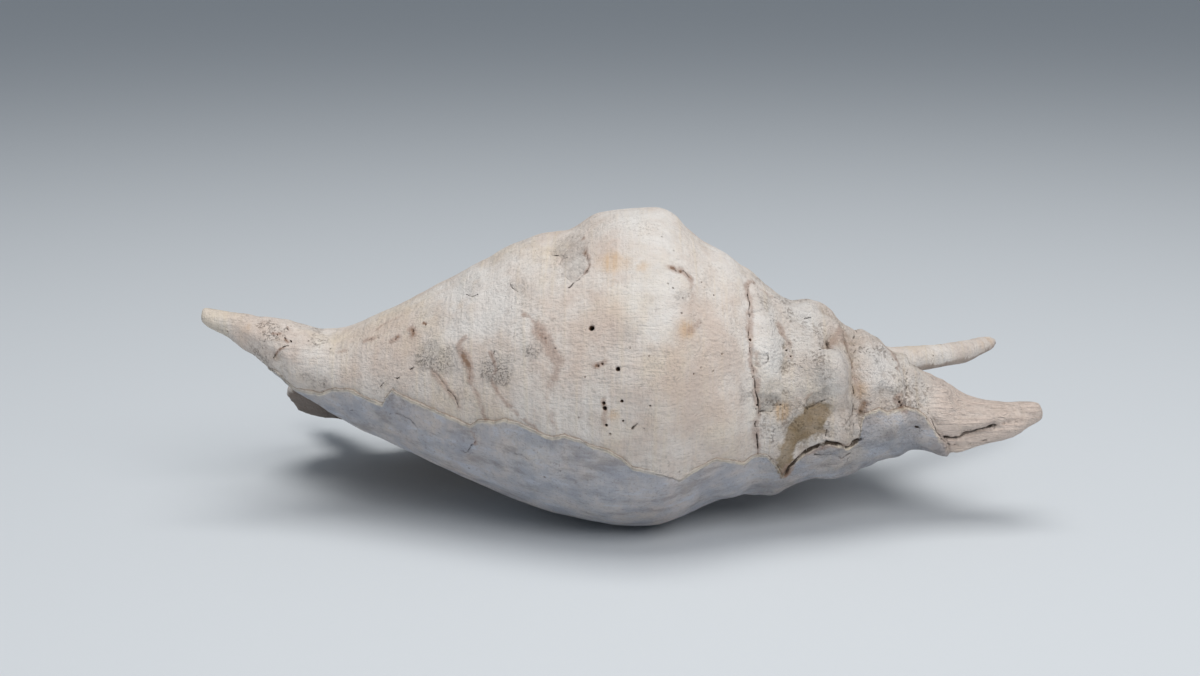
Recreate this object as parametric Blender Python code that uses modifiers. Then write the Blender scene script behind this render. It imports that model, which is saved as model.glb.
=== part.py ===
"""Spider conch shell, lying on its aperture side: one solid, in metres, +Z up.

The shell's axis runs along X, with the canal at -X and the spire at +X.
-Y is the pillar side, covered by the callus, and +Y is the side of the flared lip and its fingers.
Sizes are in millimetres, and a mesh is scaled to metres when it is made.
Angles go round the axis from the pillar side (0) over the top (90) to the lip side (180) and the belly (270).
"""
import math

import bpy
import bmesh
import numpy as np

MM = 0.001

# Middle of the shell's box on the floor, measured from the shell's axis; the belly is trimmed flat there
ORIGIN = (7.07, 27.76, 0.60)

# Sections of the body: x, height of the axis, then the radii to the pillar side, top, lip side and belly
BODY_SECTIONS = [
    (-95.5, 51.0, 2.1, 2.0, 2.1, 2.0),
    (-94.0, 50.5, 3.0, 2.8, 3.0, 2.9),
    (-90.0, 48.9, 3.7, 3.6, 3.7, 3.5),
    (-82.0, 45.0, 5.3, 5.5, 5.2, 5.0),
    (-75.0, 41.5, 8.0, 8.4, 8.0, 7.6),
    (-66.0, 37.9, 9.8, 9.4, 10.0, 9.6),
    (-56.0, 36.0, 14.0, 13.6, 14.0, 13.8),
    (-42.0, 36.0, 20.8, 20.4, 20.0, 19.6),
    (-30.0, 36.8, 26.2, 26.0, 25.5, 26.3),
    (-20.0, 37.4, 30.4, 29.7, 29.6, 31.2),
    (-8.0, 37.5, 34.6, 32.8, 33.4, 35.0),
    (4.0, 37.9, 37.2, 35.4, 35.8, 37.8),
    (12.0, 38.1, 37.6, 35.8, 36.0, 37.9),
    (19.0, 37.4, 35.6, 34.4, 34.0, 35.2),
    (26.0, 36.0, 31.8, 31.4, 31.0, 30.5),
    (35.0, 34.4, 27.6, 27.4, 26.8, 25.9),
    (42.0, 32.8, 24.7, 23.2, 23.4, 24.9),
    (54.0, 31.0, 20.2, 20.0, 19.4, 18.6),
    (64.0, 30.0, 16.2, 15.4, 15.6, 15.2),
    (74.0, 28.4, 11.8, 11.2, 11.0, 10.6),
    (82.0, 26.4, 7.6, 7.4, 7.0, 7.6),
    (86.0, 26.0, 3.0, 3.0, 3.0, 3.0),
]

# Knobs of the last whorl: x, angle in degrees, height, half-length along x, half-width in degrees
BODY_KNOBS = [
    (8.0, 97.0, 2.7, 12.5, 32.0),
    (-17.0, 95.0, 1.2, 9.0, 24.0),
    (11.0, 152.0, 5.5, 9.5, 20.0),
    (-17.0, 150.0, 3.2, 8.0, 18.0),
    (12.0, 20.0, 0.8, 9.0, 30.0),
    (-3.0, 100.0, 0.8, 3.5, 20.0),
    (16.5, 100.0, 0.9, 3.0, 20.0),
    (45.0, 95.0, -0.9, 3.2, 28.0),
    (51.2, 96.0, 1.0, 3.6, 24.0),
    (58.0, 95.0, -1.2, 3.2, 26.0),
    (65.0, 95.0, 1.2, 3.8, 26.0),
    (53.4, 32.0, 1.3, 4.2, 15.0),
    (39.0, 285.0, 1.2, 4.0, 22.0),
    (48.5, 285.0, -1.2, 5.0, 24.0),
    (62.0, 285.0, 1.0, 4.0, 24.0),
]

# The spire's coil: its apex, the last suture's reach from it and each turn's growth
APEX_X = 84.0
LAST_SUTURE_REACH = 50.7
TURN_GROWTH = 2.02
OLDEST_TURN = -3.1

# The sutures: their bow and lag on the pillar side, where the count of turns starts again behind the lip, and
# how deep they are and how wide their fall is, as shares of the reach and of a turn
SUTURE_BOW = 4.5
SUTURE_LAG = 0.85
LIP_ANGLE = math.radians(230)
SUTURE_DEPTH = 0.042
SUTURE_FALL = 0.12
TURN_SAG = 0.55

# The knobs on each turn's shoulder: height as a share of the reach, place and half-width as shares of a turn
KNOB_HEIGHT = 0.075
KNOB_PLACE = 0.27
KNOB_HALF_WIDTH = 0.17
KNOBS_PER_TURN = 8
FIRST_KNOB_DEGREES = 34.0

# Lip: place along it from the canal to the spire, then its root inside the body, middle pull and margin
LIP_ROOT = [
    (0.00, -55.0, 3.0, 37.0),
    (0.20, -46.0, 9.0, 39.0),
    (0.42, -26.0, 17.0, 47.0),
    (0.62, 2.0, 20.0, 55.0),
    (0.78, 22.0, 16.0, 50.0),
    (0.90, 44.0, 9.0, 38.0),
    (1.00, 66.0, 2.0, 30.0),
]
LIP_PULL = [
    (0.00, -60.0, 12.0, 30.0),
    (0.20, -60.0, 30.0, 20.0),
    (0.42, -34.0, 38.0, 20.0),
    (0.62, 4.0, 42.0, 22.0),
    (0.78, 30.0, 38.0, 22.0),
    (0.90, 52.0, 28.0, 26.0),
    (1.00, 76.0, 8.0, 27.0),
]
LIP_MARGIN = [
    (0.00, -62.0, 14.0, 27.0),
    (0.05, -75.5, 20.5, 28.0),
    (0.11, -81.0, 29.0, 24.0),
    (0.17, -80.2, 37.0, 18.5),
    (0.24, -73.0, 44.0, 13.8),
    (0.33, -57.0, 48.0, 11.2),
    (0.42, -42.0, 56.0, 10.0),
    (0.51, -24.0, 53.0, 11.0),
    (0.62, 9.0, 61.0, 12.5),
    (0.70, 24.0, 54.0, 13.0),
    (0.78, 38.0, 57.0, 13.0),
    (0.86, 53.0, 43.0, 19.0),
    (0.93, 69.0, 33.0, 27.0),
    (1.00, 80.0, 12.0, 26.0),
]
LIP_THICKNESS = 4.6

# Fingers of the lip: centre points and half-thickness, each from its root inside the lip to its blunt tip
FINGERS = {
    "first": [(60, 1, 30.5, 13.0), (72, -1, 28.2, 11.8), (80, -3, 26.2, 10.2), (85, -4, 25.0, 9.0),
              (90, -5, 25.5, 7.2), (97, -6, 26.4, 5.2), (103, -6.5, 28.3, 3.4), (105.4, -6.7, 29.0, 2.1)],
    "second": [(52, 12, 31, 2.5), (60, 20, 30, 5.5), (68, 26.5, 30.2, 6.4), (79, 34, 30.3, 4.6),
               (91, 43, 29.3, 3.9), (101, 53.5, 28.5, 3.2), (108, 61, 28.6, 2.4), (109.6, 62.6, 28.8, 1.3)],
    "third": [(24, 32, 31, 2.0), (29, 43, 22.5, 3.8), (35, 54, 15.5, 6.0), (40, 62, 11, 6.3),
              (47, 71, 6.8, 5.2), (53, 80, 3.6, 4.2), (58, 89, 2.6, 2.7), (59.3, 91.5, 3.0, 1.3)],
    "fourth": [(4, 36, 33, 2.0), (6, 47, 22.5, 4.0), (8, 58, 15, 6.2), (10.5, 68, 11.3, 6.0),
               (12, 76, 10.8, 4.9), (10.5, 85, 12.2, 3.7), (8, 92, 14.8, 2.4), (7.4, 94, 15.6, 1.2)],
    "fifth": [(-32, 32, 28.5, 2.0), (-37, 44, 18.5, 4.0), (-41, 54, 12.5, 5.8), (-44, 63, 8.5, 5.4),
              (-47, 71, 5.8, 4.7), (-50.5, 79, 3.2, 3.8), (-54, 87.5, 2.3, 2.4), (-54.8, 89.5, 2.6, 1.2)],
    "sixth": [(-53, 27, 26.5, 2.0), (-60, 37, 19, 3.8), (-66, 46, 14.8, 5.2), (-70, 53, 12.8, 4.6),
              (-74, 59, 12.2, 3.8), (-77.5, 64, 12.8, 2.8), (-79.5, 67, 13.4, 1.3)],
}
FINGER_GROOVE = 0.34
FINGER_FLATTENING = 0.88

# Cavity, from the aperture inwards: middle of the passage in shares of the body's radius (towards the lip, up),
# its half-thickness as such a share, then the middle of its length and half its length in millimetres
CAVITY_PATH = [
    (0.90, -1.30, 0.24, -6.0, 47.0),
    (0.84, -0.80, 0.25, -6.0, 47.0),
    (0.77, -0.36, 0.245, -5.0, 43.0),
    (0.62, 0.12, 0.21, -2.0, 38.0),
    (0.42, 0.46, 0.21, 2.0, 31.0),
    (0.05, 0.60, 0.20, 6.0, 25.0),
    (-0.34, 0.46, 0.18, 10.0, 19.0),
    (-0.56, 0.10, 0.15, 14.0, 14.0),
    (-0.54, -0.20, 0.08, 16.0, 6.0),
]
MEAN_RADIUS = 38.0
CANAL_GROOVE = [(-40, 15.0, 21.0, 4.0), (-50, 10.0, 23.0, 6.0), (-60, 6.0, 26.5, 5.6), (-70, 4.0, 31.5, 4.6),
                (-80, 2.6, 39.0, 2.9), (-90, 1.8, 45.6, 1.7), (-97, 1.0, 48.4, 1.3)]

# How fine the shapes and the solid are: rings and points round them, the lip's grid, the joining cell in
# millimetres and the share of the joined faces that is kept
BODY_GRID = (180, 88)
TUBE_GRID = (60, 28)
CAVITY_GRID = (56, 48)
LIP_GRID = (130, 26)
FUSE_CELL = 1.0
KEPT_SHARE = 0.058

SHELL_COLOUR = (0.72, 0.66, 0.60, 1.0)


def through(rows, at):
    """Smooth values at the places 'at' through rows of (place, value, ...), with no overshoot between."""
    rows = np.array(rows, dtype=float)
    place, values = rows[:, 0], rows[:, 1:]
    gap = np.diff(place)[:, None]
    rise = np.diff(values, axis=0) / gap
    slope = np.zeros_like(values)
    total = rise[:-1] + rise[1:]
    np.divide(2 * rise[:-1] * rise[1:], total, out=slope[1:-1], where=rise[:-1] * rise[1:] > 0)
    slope[0], slope[-1] = rise[0], rise[-1]
    at = np.clip(np.asarray(at, dtype=float), place[0], place[-1])
    left = np.clip(np.searchsorted(place, at, side="right") - 1, 0, len(gap) - 1)
    width = gap[left]
    t = (at - place[left])[..., None] / width
    start, end = values[left], values[left + 1]
    lift = (2 * t**3 - 3 * t**2 + 1) * start + (3 * t**2 - 2 * t**3) * end
    bend = ((t**3 - 2 * t**2 + t) * slope[left] + (t**3 - t**2) * slope[left + 1]) * width
    return lift + bend


def numbered(points):
    """The points with their place along the line put before them, from 0 to 1 by distance."""
    points = np.array(points, dtype=float)
    run = np.concatenate([[0.0], np.cumsum(np.linalg.norm(np.diff(points[:, :3], axis=0), axis=1))])
    return np.column_stack([run / run[-1], points])


def section_radius(x, angle):
    """Smooth radius of the body: the four radii of the section blended by squared cosines round the axis."""
    values = through(BODY_SECTIONS, x)
    pillar, top, lip, belly = (values[..., k] for k in range(1, 5))
    side = np.cos(angle)
    rise = np.sin(angle)
    across = np.where(side > 0, pillar, lip) * side**2
    upright = np.where(rise > 0, top, belly) * rise**2
    return across + upright


def knobs(x, angle):
    """Height of the blunt knobs on the last whorl, each a flat-topped bell in x and angle."""
    height = np.zeros(np.broadcast(x, angle).shape)
    for centre, degrees, high, half_long, half_wide in BODY_KNOBS:
        turned = np.degrees(angle) - degrees
        turned = (turned + 180) % 360 - 180
        away = ((x - centre) / half_long) ** 2 + (turned / half_wide) ** 2
        height = height + high * np.exp(-(away**2))
    return height


def spire_turn(x, angle):
    """Turns of the coil: the logarithm of the reach from the apex less the angle, whole at a suture.

    On the pillar side a suture lags behind the plain helix and bows, and the count starts again behind the lip.
    """
    round_angle = (angle + 2 * math.pi - LIP_ANGLE) % (2 * math.pi) - (2 * math.pi - LIP_ANGLE)
    reach = np.maximum(APEX_X - x + SUTURE_BOW * (1 - np.cos(round_angle)), 0.5)
    helix = (round_angle - SUTURE_LAG * np.sin(round_angle)) / (2 * math.pi)
    return np.log(reach / LAST_SUTURE_REACH) / math.log(TURN_GROWTH) - helix


def spire_relief(x, angle):
    """Steps and knobs of the spire: each turn falls to a suture and has a row of knobs by its shoulder."""
    turn = spire_turn(x, angle)
    share = turn % 1.0
    on_spire = np.clip((0.25 - turn) / 0.25, 0, 1) * np.clip((turn - OLDEST_TURN) / 0.6, 0, 1)
    scale = np.clip(APEX_X - x, 0.5, LAST_SUTURE_REACH)
    fall = np.minimum(share / SUTURE_FALL, 1) ** 0.5
    step = SUTURE_DEPTH * scale * (fall - TURN_SAG * share**3 - TURN_SAG)
    phase = KNOBS_PER_TURN * (np.degrees(angle) - FIRST_KNOB_DEGREES) / 360 * 2 * math.pi
    row = np.exp(-(((share - KNOB_PLACE) / KNOB_HALF_WIDTH) ** 2)) * (0.5 + 0.5 * np.cos(phase)) ** 1.5
    return on_spire * (step + KNOB_HEIGHT * scale * row)


def body_point(x, angle, radius):
    """Point at a radius and angle round the body's axis."""
    height = through(BODY_SECTIONS, x)[..., 0]
    return np.stack([x + 0 * angle, -radius * np.cos(angle), height + radius * np.sin(angle)], axis=-1)


def body_rings():
    """Rings of the body from the canal's tip to the spire's end."""
    first, last = BODY_SECTIONS[0][0], BODY_SECTIONS[-1][0]
    x = np.linspace(first, last, BODY_GRID[0])[:, None]
    angle = np.linspace(0, 2 * math.pi, BODY_GRID[1], endpoint=False)[None, :]
    radius = section_radius(x, angle) + knobs(x, angle) + spire_relief(x, angle)
    return body_point(x, angle, radius)


def tube_rings(points, groove=0.0, flattening=1.0):
    """Rings along centre points with a half-thickness each; a groove may dent the underside."""
    rows = through(numbered(points), np.linspace(0, 1, TUBE_GRID[0]))
    centre, half = rows[:, :3], rows[:, 3:4]
    ahead = np.gradient(centre, axis=0)
    ahead /= np.linalg.norm(ahead, axis=1, keepdims=True)
    side = np.cross(ahead, (0.0, 0.0, 1.0))
    side /= np.linalg.norm(side, axis=1, keepdims=True)
    over = np.cross(side, ahead)
    angle = np.linspace(0, 2 * math.pi, TUBE_GRID[1], endpoint=False)[None, :]
    below = np.exp(-(((angle - 1.5 * math.pi) / 0.5) ** 2))
    reach = half * (1 - groove * below)
    across = (reach * np.cos(angle))[..., None] * side[:, None, :]
    upright = (reach * flattening * np.sin(angle))[..., None] * over[:, None, :]
    return centre[:, None, :] + across + upright


def cavity_rings():
    """Rings of the passage: each an oval along x, laid on the body's section and scaled with its radius."""
    spread = [(row[0] * MEAN_RADIUS, row[1] * MEAN_RADIUS, 0.0, *row) for row in CAVITY_PATH]
    rows = through(numbered(spread), np.linspace(0, 1, CAVITY_GRID[0]))
    towards, up, thick, middle, half_long = (rows[:, k][:, None] for k in range(3, 8))
    ahead = np.gradient(np.concatenate([towards, up], axis=1), axis=0)
    ahead /= np.linalg.norm(ahead, axis=1, keepdims=True)
    angle = np.linspace(0, 2 * math.pi, CAVITY_GRID[1], endpoint=False)[None, :]
    x = middle + half_long * np.cos(angle)
    out = thick * np.sin(angle)
    share_y = towards + out * ahead[:, 1:2]
    share_z = up - out * ahead[:, 0:1]
    scale = section_radius(x, np.full_like(x, math.pi))
    height = through(BODY_SECTIONS, x)[..., 0]
    return np.stack([x, share_y * scale, height + share_z * scale], axis=-1)


def loft(name, rings, collection):
    """Closed mesh through rings of points, with a fan at each end."""
    count, around = rings.shape[:2]
    ends = [rings[0].mean(axis=0), rings[-1].mean(axis=0)]
    points = np.concatenate([rings.reshape(-1, 3), ends])
    faces = []
    for i in range(count - 1):
        for j in range(around):
            k = (j + 1) % around
            faces.append((i * around + j, i * around + k, (i + 1) * around + k, (i + 1) * around + j))
    first, last = count * around, count * around + 1
    for j in range(around):
        k = (j + 1) % around
        faces.append((first, k, j))
        faces.append((last, (count - 1) * around + j, (count - 1) * around + k))
    return new_object(name, points, faces, collection)


def new_object(name, points, faces, collection):
    """Object with a mesh of these points, moved to the part's origin, and these faces, turned outwards."""
    mesh = bpy.data.meshes.new(name)
    mesh.from_pydata(((points - ORIGIN) * MM).tolist(), [], faces)
    work = bmesh.new()
    work.from_mesh(mesh)
    bmesh.ops.recalc_face_normals(work, faces=work.faces)
    work.to_mesh(mesh)
    work.free()
    made = bpy.data.objects.new(name, mesh)
    collection.objects.link(made)
    return made


def lip_sheet(collection):
    """Open sheet from the root inside the body to the scalloped margin, thickened on both sides."""
    along = np.linspace(0, 1, LIP_GRID[0])
    root, pull, margin = (through(rows, along)[:, None, :] for rows in (LIP_ROOT, LIP_PULL, LIP_MARGIN))
    v = np.linspace(0, 1, LIP_GRID[1])[None, :, None]
    sheet = (1 - v) ** 2 * root + 2 * v * (1 - v) * pull + v**2 * margin
    count, across = sheet.shape[:2]
    faces = []
    for i in range(count - 1):
        for j in range(across - 1):
            faces.append((i * across + j, i * across + j + 1, (i + 1) * across + j + 1, (i + 1) * across + j))
    made = new_object("lip", sheet.reshape(-1, 3), faces, collection)
    wall = made.modifiers.new("wall", "SOLIDIFY")
    wall.thickness = LIP_THICKNESS * MM
    wall.offset = 0.0
    wall.use_even_offset = True
    return made


def fused(name, pieces, collection):
    """One object holding the shapes of all the pieces, which are then removed."""
    depsgraph = bpy.context.evaluated_depsgraph_get()
    work = bmesh.new()
    for piece in pieces:
        shape = bpy.data.meshes.new_from_object(piece.evaluated_get(depsgraph))
        work.from_mesh(shape)
        bpy.data.meshes.remove(shape)
    mesh = bpy.data.meshes.new(name)
    work.to_mesh(mesh)
    work.free()
    for piece in pieces:
        bpy.data.objects.remove(piece, do_unlink=True)
    made = bpy.data.objects.new(name, mesh)
    collection.objects.link(made)
    return made


def add_fuse(shell, name):
    """Voxel remesh that joins what overlaps into one skin."""
    fuse = shell.modifiers.new(name, "REMESH")
    fuse.mode = "VOXEL"
    fuse.voxel_size = FUSE_CELL * MM
    fuse.use_smooth_shade = True


def add_cut(shell, name, cutter):
    """Exact cut of the shell with a cutter."""
    cut = shell.modifiers.new(name, "BOOLEAN")
    cut.operation = "DIFFERENCE"
    cut.solver = "EXACT"
    cut.object = cutter
    cutter.hide_render = True
    cutter.display_type = "WIRE"


def floor_block(collection):
    """Block under the floor, which trims the resting points flat."""
    corners = [(x, y, z) for x in (-140.0, 150.0) for y in (-80.0, 130.0) for z in (-40.0, ORIGIN[2])]
    faces = [(0, 1, 3, 2), (4, 6, 7, 5), (0, 4, 5, 1), (2, 3, 7, 6), (0, 2, 6, 4), (1, 5, 7, 3)]
    return new_object("floor_trim", np.array(corners), faces, collection)


def shell_material():
    """Bleached, chalky shell."""
    material = bpy.data.materials.new("bleached shell")
    material.use_nodes = True
    surface = material.node_tree.nodes["Principled BSDF"]
    surface.inputs["Base Color"].default_value = SHELL_COLOUR
    surface.inputs["Roughness"].default_value = 0.75
    surface.inputs["Metallic"].default_value = 0.0
    return material


for old in list(bpy.data.objects):
    bpy.data.objects.remove(old, do_unlink=True)

parts = bpy.data.collections.new("spider conch shell")
cutters = bpy.data.collections.new("cutters")
bpy.context.scene.collection.children.link(parts)
bpy.context.scene.collection.children.link(cutters)

grown = [loft("body", body_rings(), parts), lip_sheet(parts)]
for finger, points in FINGERS.items():
    grown.append(loft(finger, tube_rings(points, FINGER_GROOVE, FINGER_FLATTENING), parts))
bpy.context.view_layer.update()

shell = fused("spider_conch_shell", grown, parts)
shell.data.materials.append(shell_material())
add_fuse(shell, "fuse")
add_cut(shell, "aperture", loft("aperture_cavity", cavity_rings(), cutters))
add_cut(shell, "canal", loft("canal_groove", tube_rings(CANAL_GROOVE), cutters))
add_fuse(shell, "blend")
soften = shell.modifiers.new("soften", "SMOOTH")
soften.factor = 0.5
soften.iterations = 4
thin = shell.modifiers.new("thin", "DECIMATE")
thin.ratio = KEPT_SHARE
add_cut(shell, "rest", floor_block(cutters))
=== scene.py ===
"""Spider conch shell, worn and bleached, lying on its aperture side.

The finished surface is worked out here in millimetres, measured from the shell's own
axis, with the canal at -X, the spire at +X, the pillar side at -Y and the flared lip
at +Y, and is moved to the part's frame as its last step. Angles go round the axis
from the pillar side (0) over the top (90) to the lip side (180) and the belly (270).
"""
import math

import bmesh
import bpy
import numpy as np
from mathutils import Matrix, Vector
from mathutils.bvhtree import BVHTree


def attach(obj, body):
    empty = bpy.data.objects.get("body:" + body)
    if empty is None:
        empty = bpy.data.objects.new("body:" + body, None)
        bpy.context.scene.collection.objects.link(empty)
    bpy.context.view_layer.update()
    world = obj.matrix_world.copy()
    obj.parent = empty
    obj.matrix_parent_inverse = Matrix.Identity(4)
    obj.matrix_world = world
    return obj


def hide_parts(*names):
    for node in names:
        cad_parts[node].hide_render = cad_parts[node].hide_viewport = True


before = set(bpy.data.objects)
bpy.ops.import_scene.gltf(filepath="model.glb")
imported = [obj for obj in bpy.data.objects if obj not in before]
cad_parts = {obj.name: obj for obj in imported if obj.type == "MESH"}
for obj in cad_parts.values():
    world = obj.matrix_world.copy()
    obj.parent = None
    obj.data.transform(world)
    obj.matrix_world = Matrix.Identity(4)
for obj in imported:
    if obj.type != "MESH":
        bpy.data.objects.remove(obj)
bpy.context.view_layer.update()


# Camera: a normal lens 0.4 m from the middle of the shell, looking down on
# it by 14 degrees from the pillar side, as in the photograph. Places on the
# shell that are given as pixels of the photograph are found through it.
MM = 0.001
ORIGIN = np.array((7.07, 27.76, 0.60))
PICTURE_WIDTH, PICTURE_HEIGHT = 1200, 676
LENS, SENSOR_WIDTH = 50.0, 36.0
CAMERA_DISTANCE = 400.0
CAMERA_TILT = math.radians(14)
CAMERA_TARGET = np.array((0.0, 0.0, 45.2))

camera_back = np.array((0.0, -math.cos(CAMERA_TILT), math.sin(CAMERA_TILT)))
camera_up = np.array((0.0, math.sin(CAMERA_TILT), math.cos(CAMERA_TILT)))
camera_place = CAMERA_TARGET + CAMERA_DISTANCE * camera_back
pixels_per_slope = LENS / SENSOR_WIDTH * PICTURE_WIDTH

camera_data = bpy.data.cameras.new("camera")
camera_data.lens = LENS
camera_data.sensor_width = SENSOR_WIDTH
camera_data.clip_start = 0.01
camera = bpy.data.objects.new("camera", camera_data)
camera.location = (camera_place - ORIGIN) * MM
camera.rotation_euler = Vector(-camera_back).to_track_quat("-Z", "Y").to_euler()
bpy.context.scene.collection.objects.link(camera)
bpy.context.scene.camera = camera


def sight_line(pixel):
    """Direction from the camera through a pixel: the lens axis, plus the pixel's offset across and up."""
    across = (pixel[0] - PICTURE_WIDTH / 2) / pixels_per_slope
    upward = (PICTURE_HEIGHT / 2 - pixel[1]) / pixels_per_slope
    direction = -camera_back + across * np.array((1.0, 0.0, 0.0)) + upward * camera_up
    return direction / np.linalg.norm(direction)


# The shell: one piece of lime, grown by the animal turn by turn round its axis, then
# bleached and etched by the sea. Its form is a lofted body, a lip laid on it as a
# thick sheet, and six fingers, fused into one skin and hollowed through the aperture.
BODY_SECTIONS = [
    # x, height of the axis, radii to the pillar side, top, lip side and belly
    (-95.5, 51.0, 2.1, 2.0, 2.1, 2.0),
    (-94.0, 50.5, 3.0, 2.8, 3.0, 2.9),
    (-90.0, 48.9, 3.7, 3.6, 3.7, 3.5),
    (-82.0, 45.0, 5.3, 5.5, 5.2, 5.0),
    (-75.0, 41.5, 8.0, 8.4, 8.0, 7.6),
    (-66.0, 37.9, 9.8, 9.4, 10.0, 9.6),
    (-56.0, 36.0, 14.0, 13.6, 14.0, 13.8),
    (-42.0, 36.0, 20.8, 20.4, 20.0, 19.6),
    (-30.0, 36.8, 26.2, 26.0, 25.5, 26.3),
    (-20.0, 37.4, 30.4, 29.7, 29.6, 31.2),
    (-8.0, 37.5, 34.6, 32.8, 33.4, 35.0),
    (4.0, 37.9, 37.2, 35.4, 35.8, 37.8),
    (12.0, 38.1, 37.6, 35.8, 36.0, 37.9),
    (19.0, 37.4, 35.6, 34.4, 34.0, 35.2),
    (26.0, 36.0, 31.8, 31.4, 31.0, 30.5),
    (35.0, 34.4, 27.6, 27.4, 26.8, 25.9),
    (42.0, 32.8, 24.7, 23.2, 23.4, 24.9),
    (54.0, 31.0, 20.2, 20.0, 19.4, 18.6),
    (64.0, 30.0, 16.2, 15.4, 15.6, 15.2),
    (74.0, 28.4, 11.8, 11.2, 11.0, 10.6),
    (82.0, 26.4, 7.6, 7.4, 7.0, 7.6),
    (86.0, 26.0, 3.0, 3.0, 3.0, 3.0),
]
BODY_KNOBS = [
    # x, angle in degrees, height, half-length along x, half-width in degrees
    (8.0, 97.0, 2.7, 12.5, 32.0),
    (-17.0, 95.0, 1.2, 9.0, 24.0),
    (11.0, 152.0, 5.5, 9.5, 20.0),
    (-17.0, 150.0, 3.2, 8.0, 18.0),
    (12.0, 20.0, 0.8, 9.0, 30.0),
    (-3.0, 100.0, 0.8, 3.5, 20.0),
    (16.5, 100.0, 0.9, 3.0, 20.0),
    (45.0, 95.0, -0.9, 3.2, 28.0),
    (51.2, 96.0, 1.0, 3.6, 24.0),
    (58.0, 95.0, -1.2, 3.2, 26.0),
    (65.0, 95.0, 1.2, 3.8, 26.0),
    (53.4, 32.0, 1.3, 4.2, 15.0),
    (39.0, 285.0, 1.2, 4.0, 22.0),
    (48.5, 285.0, -1.2, 5.0, 24.0),
    (62.0, 285.0, 1.0, 4.0, 24.0),
]
APEX_X = 84.0
LAST_SUTURE_REACH = 50.7
TURN_GROWTH = 2.02
SUTURE_BOW = 4.5
SUTURE_LAG = 0.85
LIP_ANGLE = math.radians(230)
SUTURE_DEPTH = 0.042
KNOB_HEIGHT = 0.075
KNOBS_PER_TURN = 8
FIRST_KNOB_DEGREES = 34.0
OLDEST_TURN = -3.1
FIRST_TURN_FADE, LAST_TURN_FADE = 0.6, 0.25
STEP_RUN, STEP_FALL, STEP_MIDDLE = 0.12, 0.55, 0.55
SHOULDER_PLACE, SHOULDER_HALF = 0.27, 0.17
LIP_ROOT = [
    # place along the lip from the canal to the spire, then the point
    (0.00, -55.0, 3.0, 37.0),
    (0.20, -46.0, 9.0, 39.0),
    (0.42, -26.0, 17.0, 47.0),
    (0.62, 2.0, 20.0, 55.0),
    (0.78, 22.0, 16.0, 50.0),
    (0.90, 44.0, 9.0, 38.0),
    (1.00, 66.0, 2.0, 30.0),
]
LIP_PULL = [
    (0.00, -60.0, 12.0, 30.0),
    (0.20, -60.0, 30.0, 20.0),
    (0.42, -34.0, 38.0, 20.0),
    (0.62, 4.0, 42.0, 22.0),
    (0.78, 30.0, 38.0, 22.0),
    (0.90, 52.0, 28.0, 26.0),
    (1.00, 76.0, 8.0, 27.0),
]
LIP_MARGIN = [
    (0.00, -62.0, 14.0, 27.0),
    (0.05, -75.5, 20.5, 28.0),
    (0.11, -81.0, 29.0, 24.0),
    (0.17, -80.2, 37.0, 18.5),
    (0.24, -73.0, 44.0, 13.8),
    (0.33, -57.0, 48.0, 11.2),
    (0.42, -42.0, 56.0, 10.0),
    (0.51, -24.0, 53.0, 11.0),
    (0.62, 9.0, 61.0, 12.5),
    (0.70, 24.0, 54.0, 13.0),
    (0.78, 38.0, 57.0, 13.0),
    (0.86, 53.0, 43.0, 19.0),
    (0.93, 69.0, 33.0, 27.0),
    (1.00, 80.0, 12.0, 26.0),
]
LIP_THICKNESS = 4.6
FINGERS = {
    # centre points and half-thickness, from the root inside the lip to the blunt tip
    "first": [(60, 1, 30.5, 13.0), (72, -1, 28.2, 11.8), (80, -3, 26.2, 10.2), (85, -4, 25.0, 9.0),
              (90, -5, 25.5, 7.2), (97, -6, 26.4, 5.2), (103, -6.5, 28.3, 3.4), (105.4, -6.7, 29.0, 2.1)],
    "second": [(52, 12, 31, 2.5), (60, 20, 30, 5.5), (68, 26.5, 30.2, 6.4), (79, 34, 30.3, 4.6),
               (91, 43, 29.3, 3.9), (101, 53.5, 28.5, 3.2), (108, 61, 28.6, 2.4), (109.6, 62.6, 28.8, 1.3)],
    "third": [(24, 32, 31, 2.0), (29, 43, 22.5, 3.8), (35, 54, 15.5, 6.0), (40, 62, 11, 6.3),
              (47, 71, 6.8, 5.2), (53, 80, 3.6, 4.2), (58, 89, 2.6, 2.7), (59.3, 91.5, 3.0, 1.3)],
    "fourth": [(4, 36, 33, 2.0), (6, 47, 22.5, 4.0), (8, 58, 15, 6.2), (10.5, 68, 11.3, 6.0),
               (12, 76, 10.8, 4.9), (10.5, 85, 12.2, 3.7), (8, 92, 14.8, 2.4), (7.4, 94, 15.6, 1.2)],
    "fifth": [(-32, 32, 28.5, 2.0), (-37, 44, 18.5, 4.0), (-41, 54, 12.5, 5.8), (-44, 63, 8.5, 5.4),
              (-47, 71, 5.8, 4.7), (-50.5, 79, 3.2, 3.8), (-54, 87.5, 2.3, 2.4), (-54.8, 89.5, 2.6, 1.2)],
    "sixth": [(-53, 27, 26.5, 2.0), (-60, 37, 19, 3.8), (-66, 46, 14.8, 5.2), (-70, 53, 12.8, 4.6),
              (-74, 59, 12.2, 3.8), (-77.5, 64, 12.8, 2.8), (-79.5, 67, 13.4, 1.3)],
}
FINGER_GROOVE = 0.34
FINGER_FLATTENING = 0.88
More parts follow.
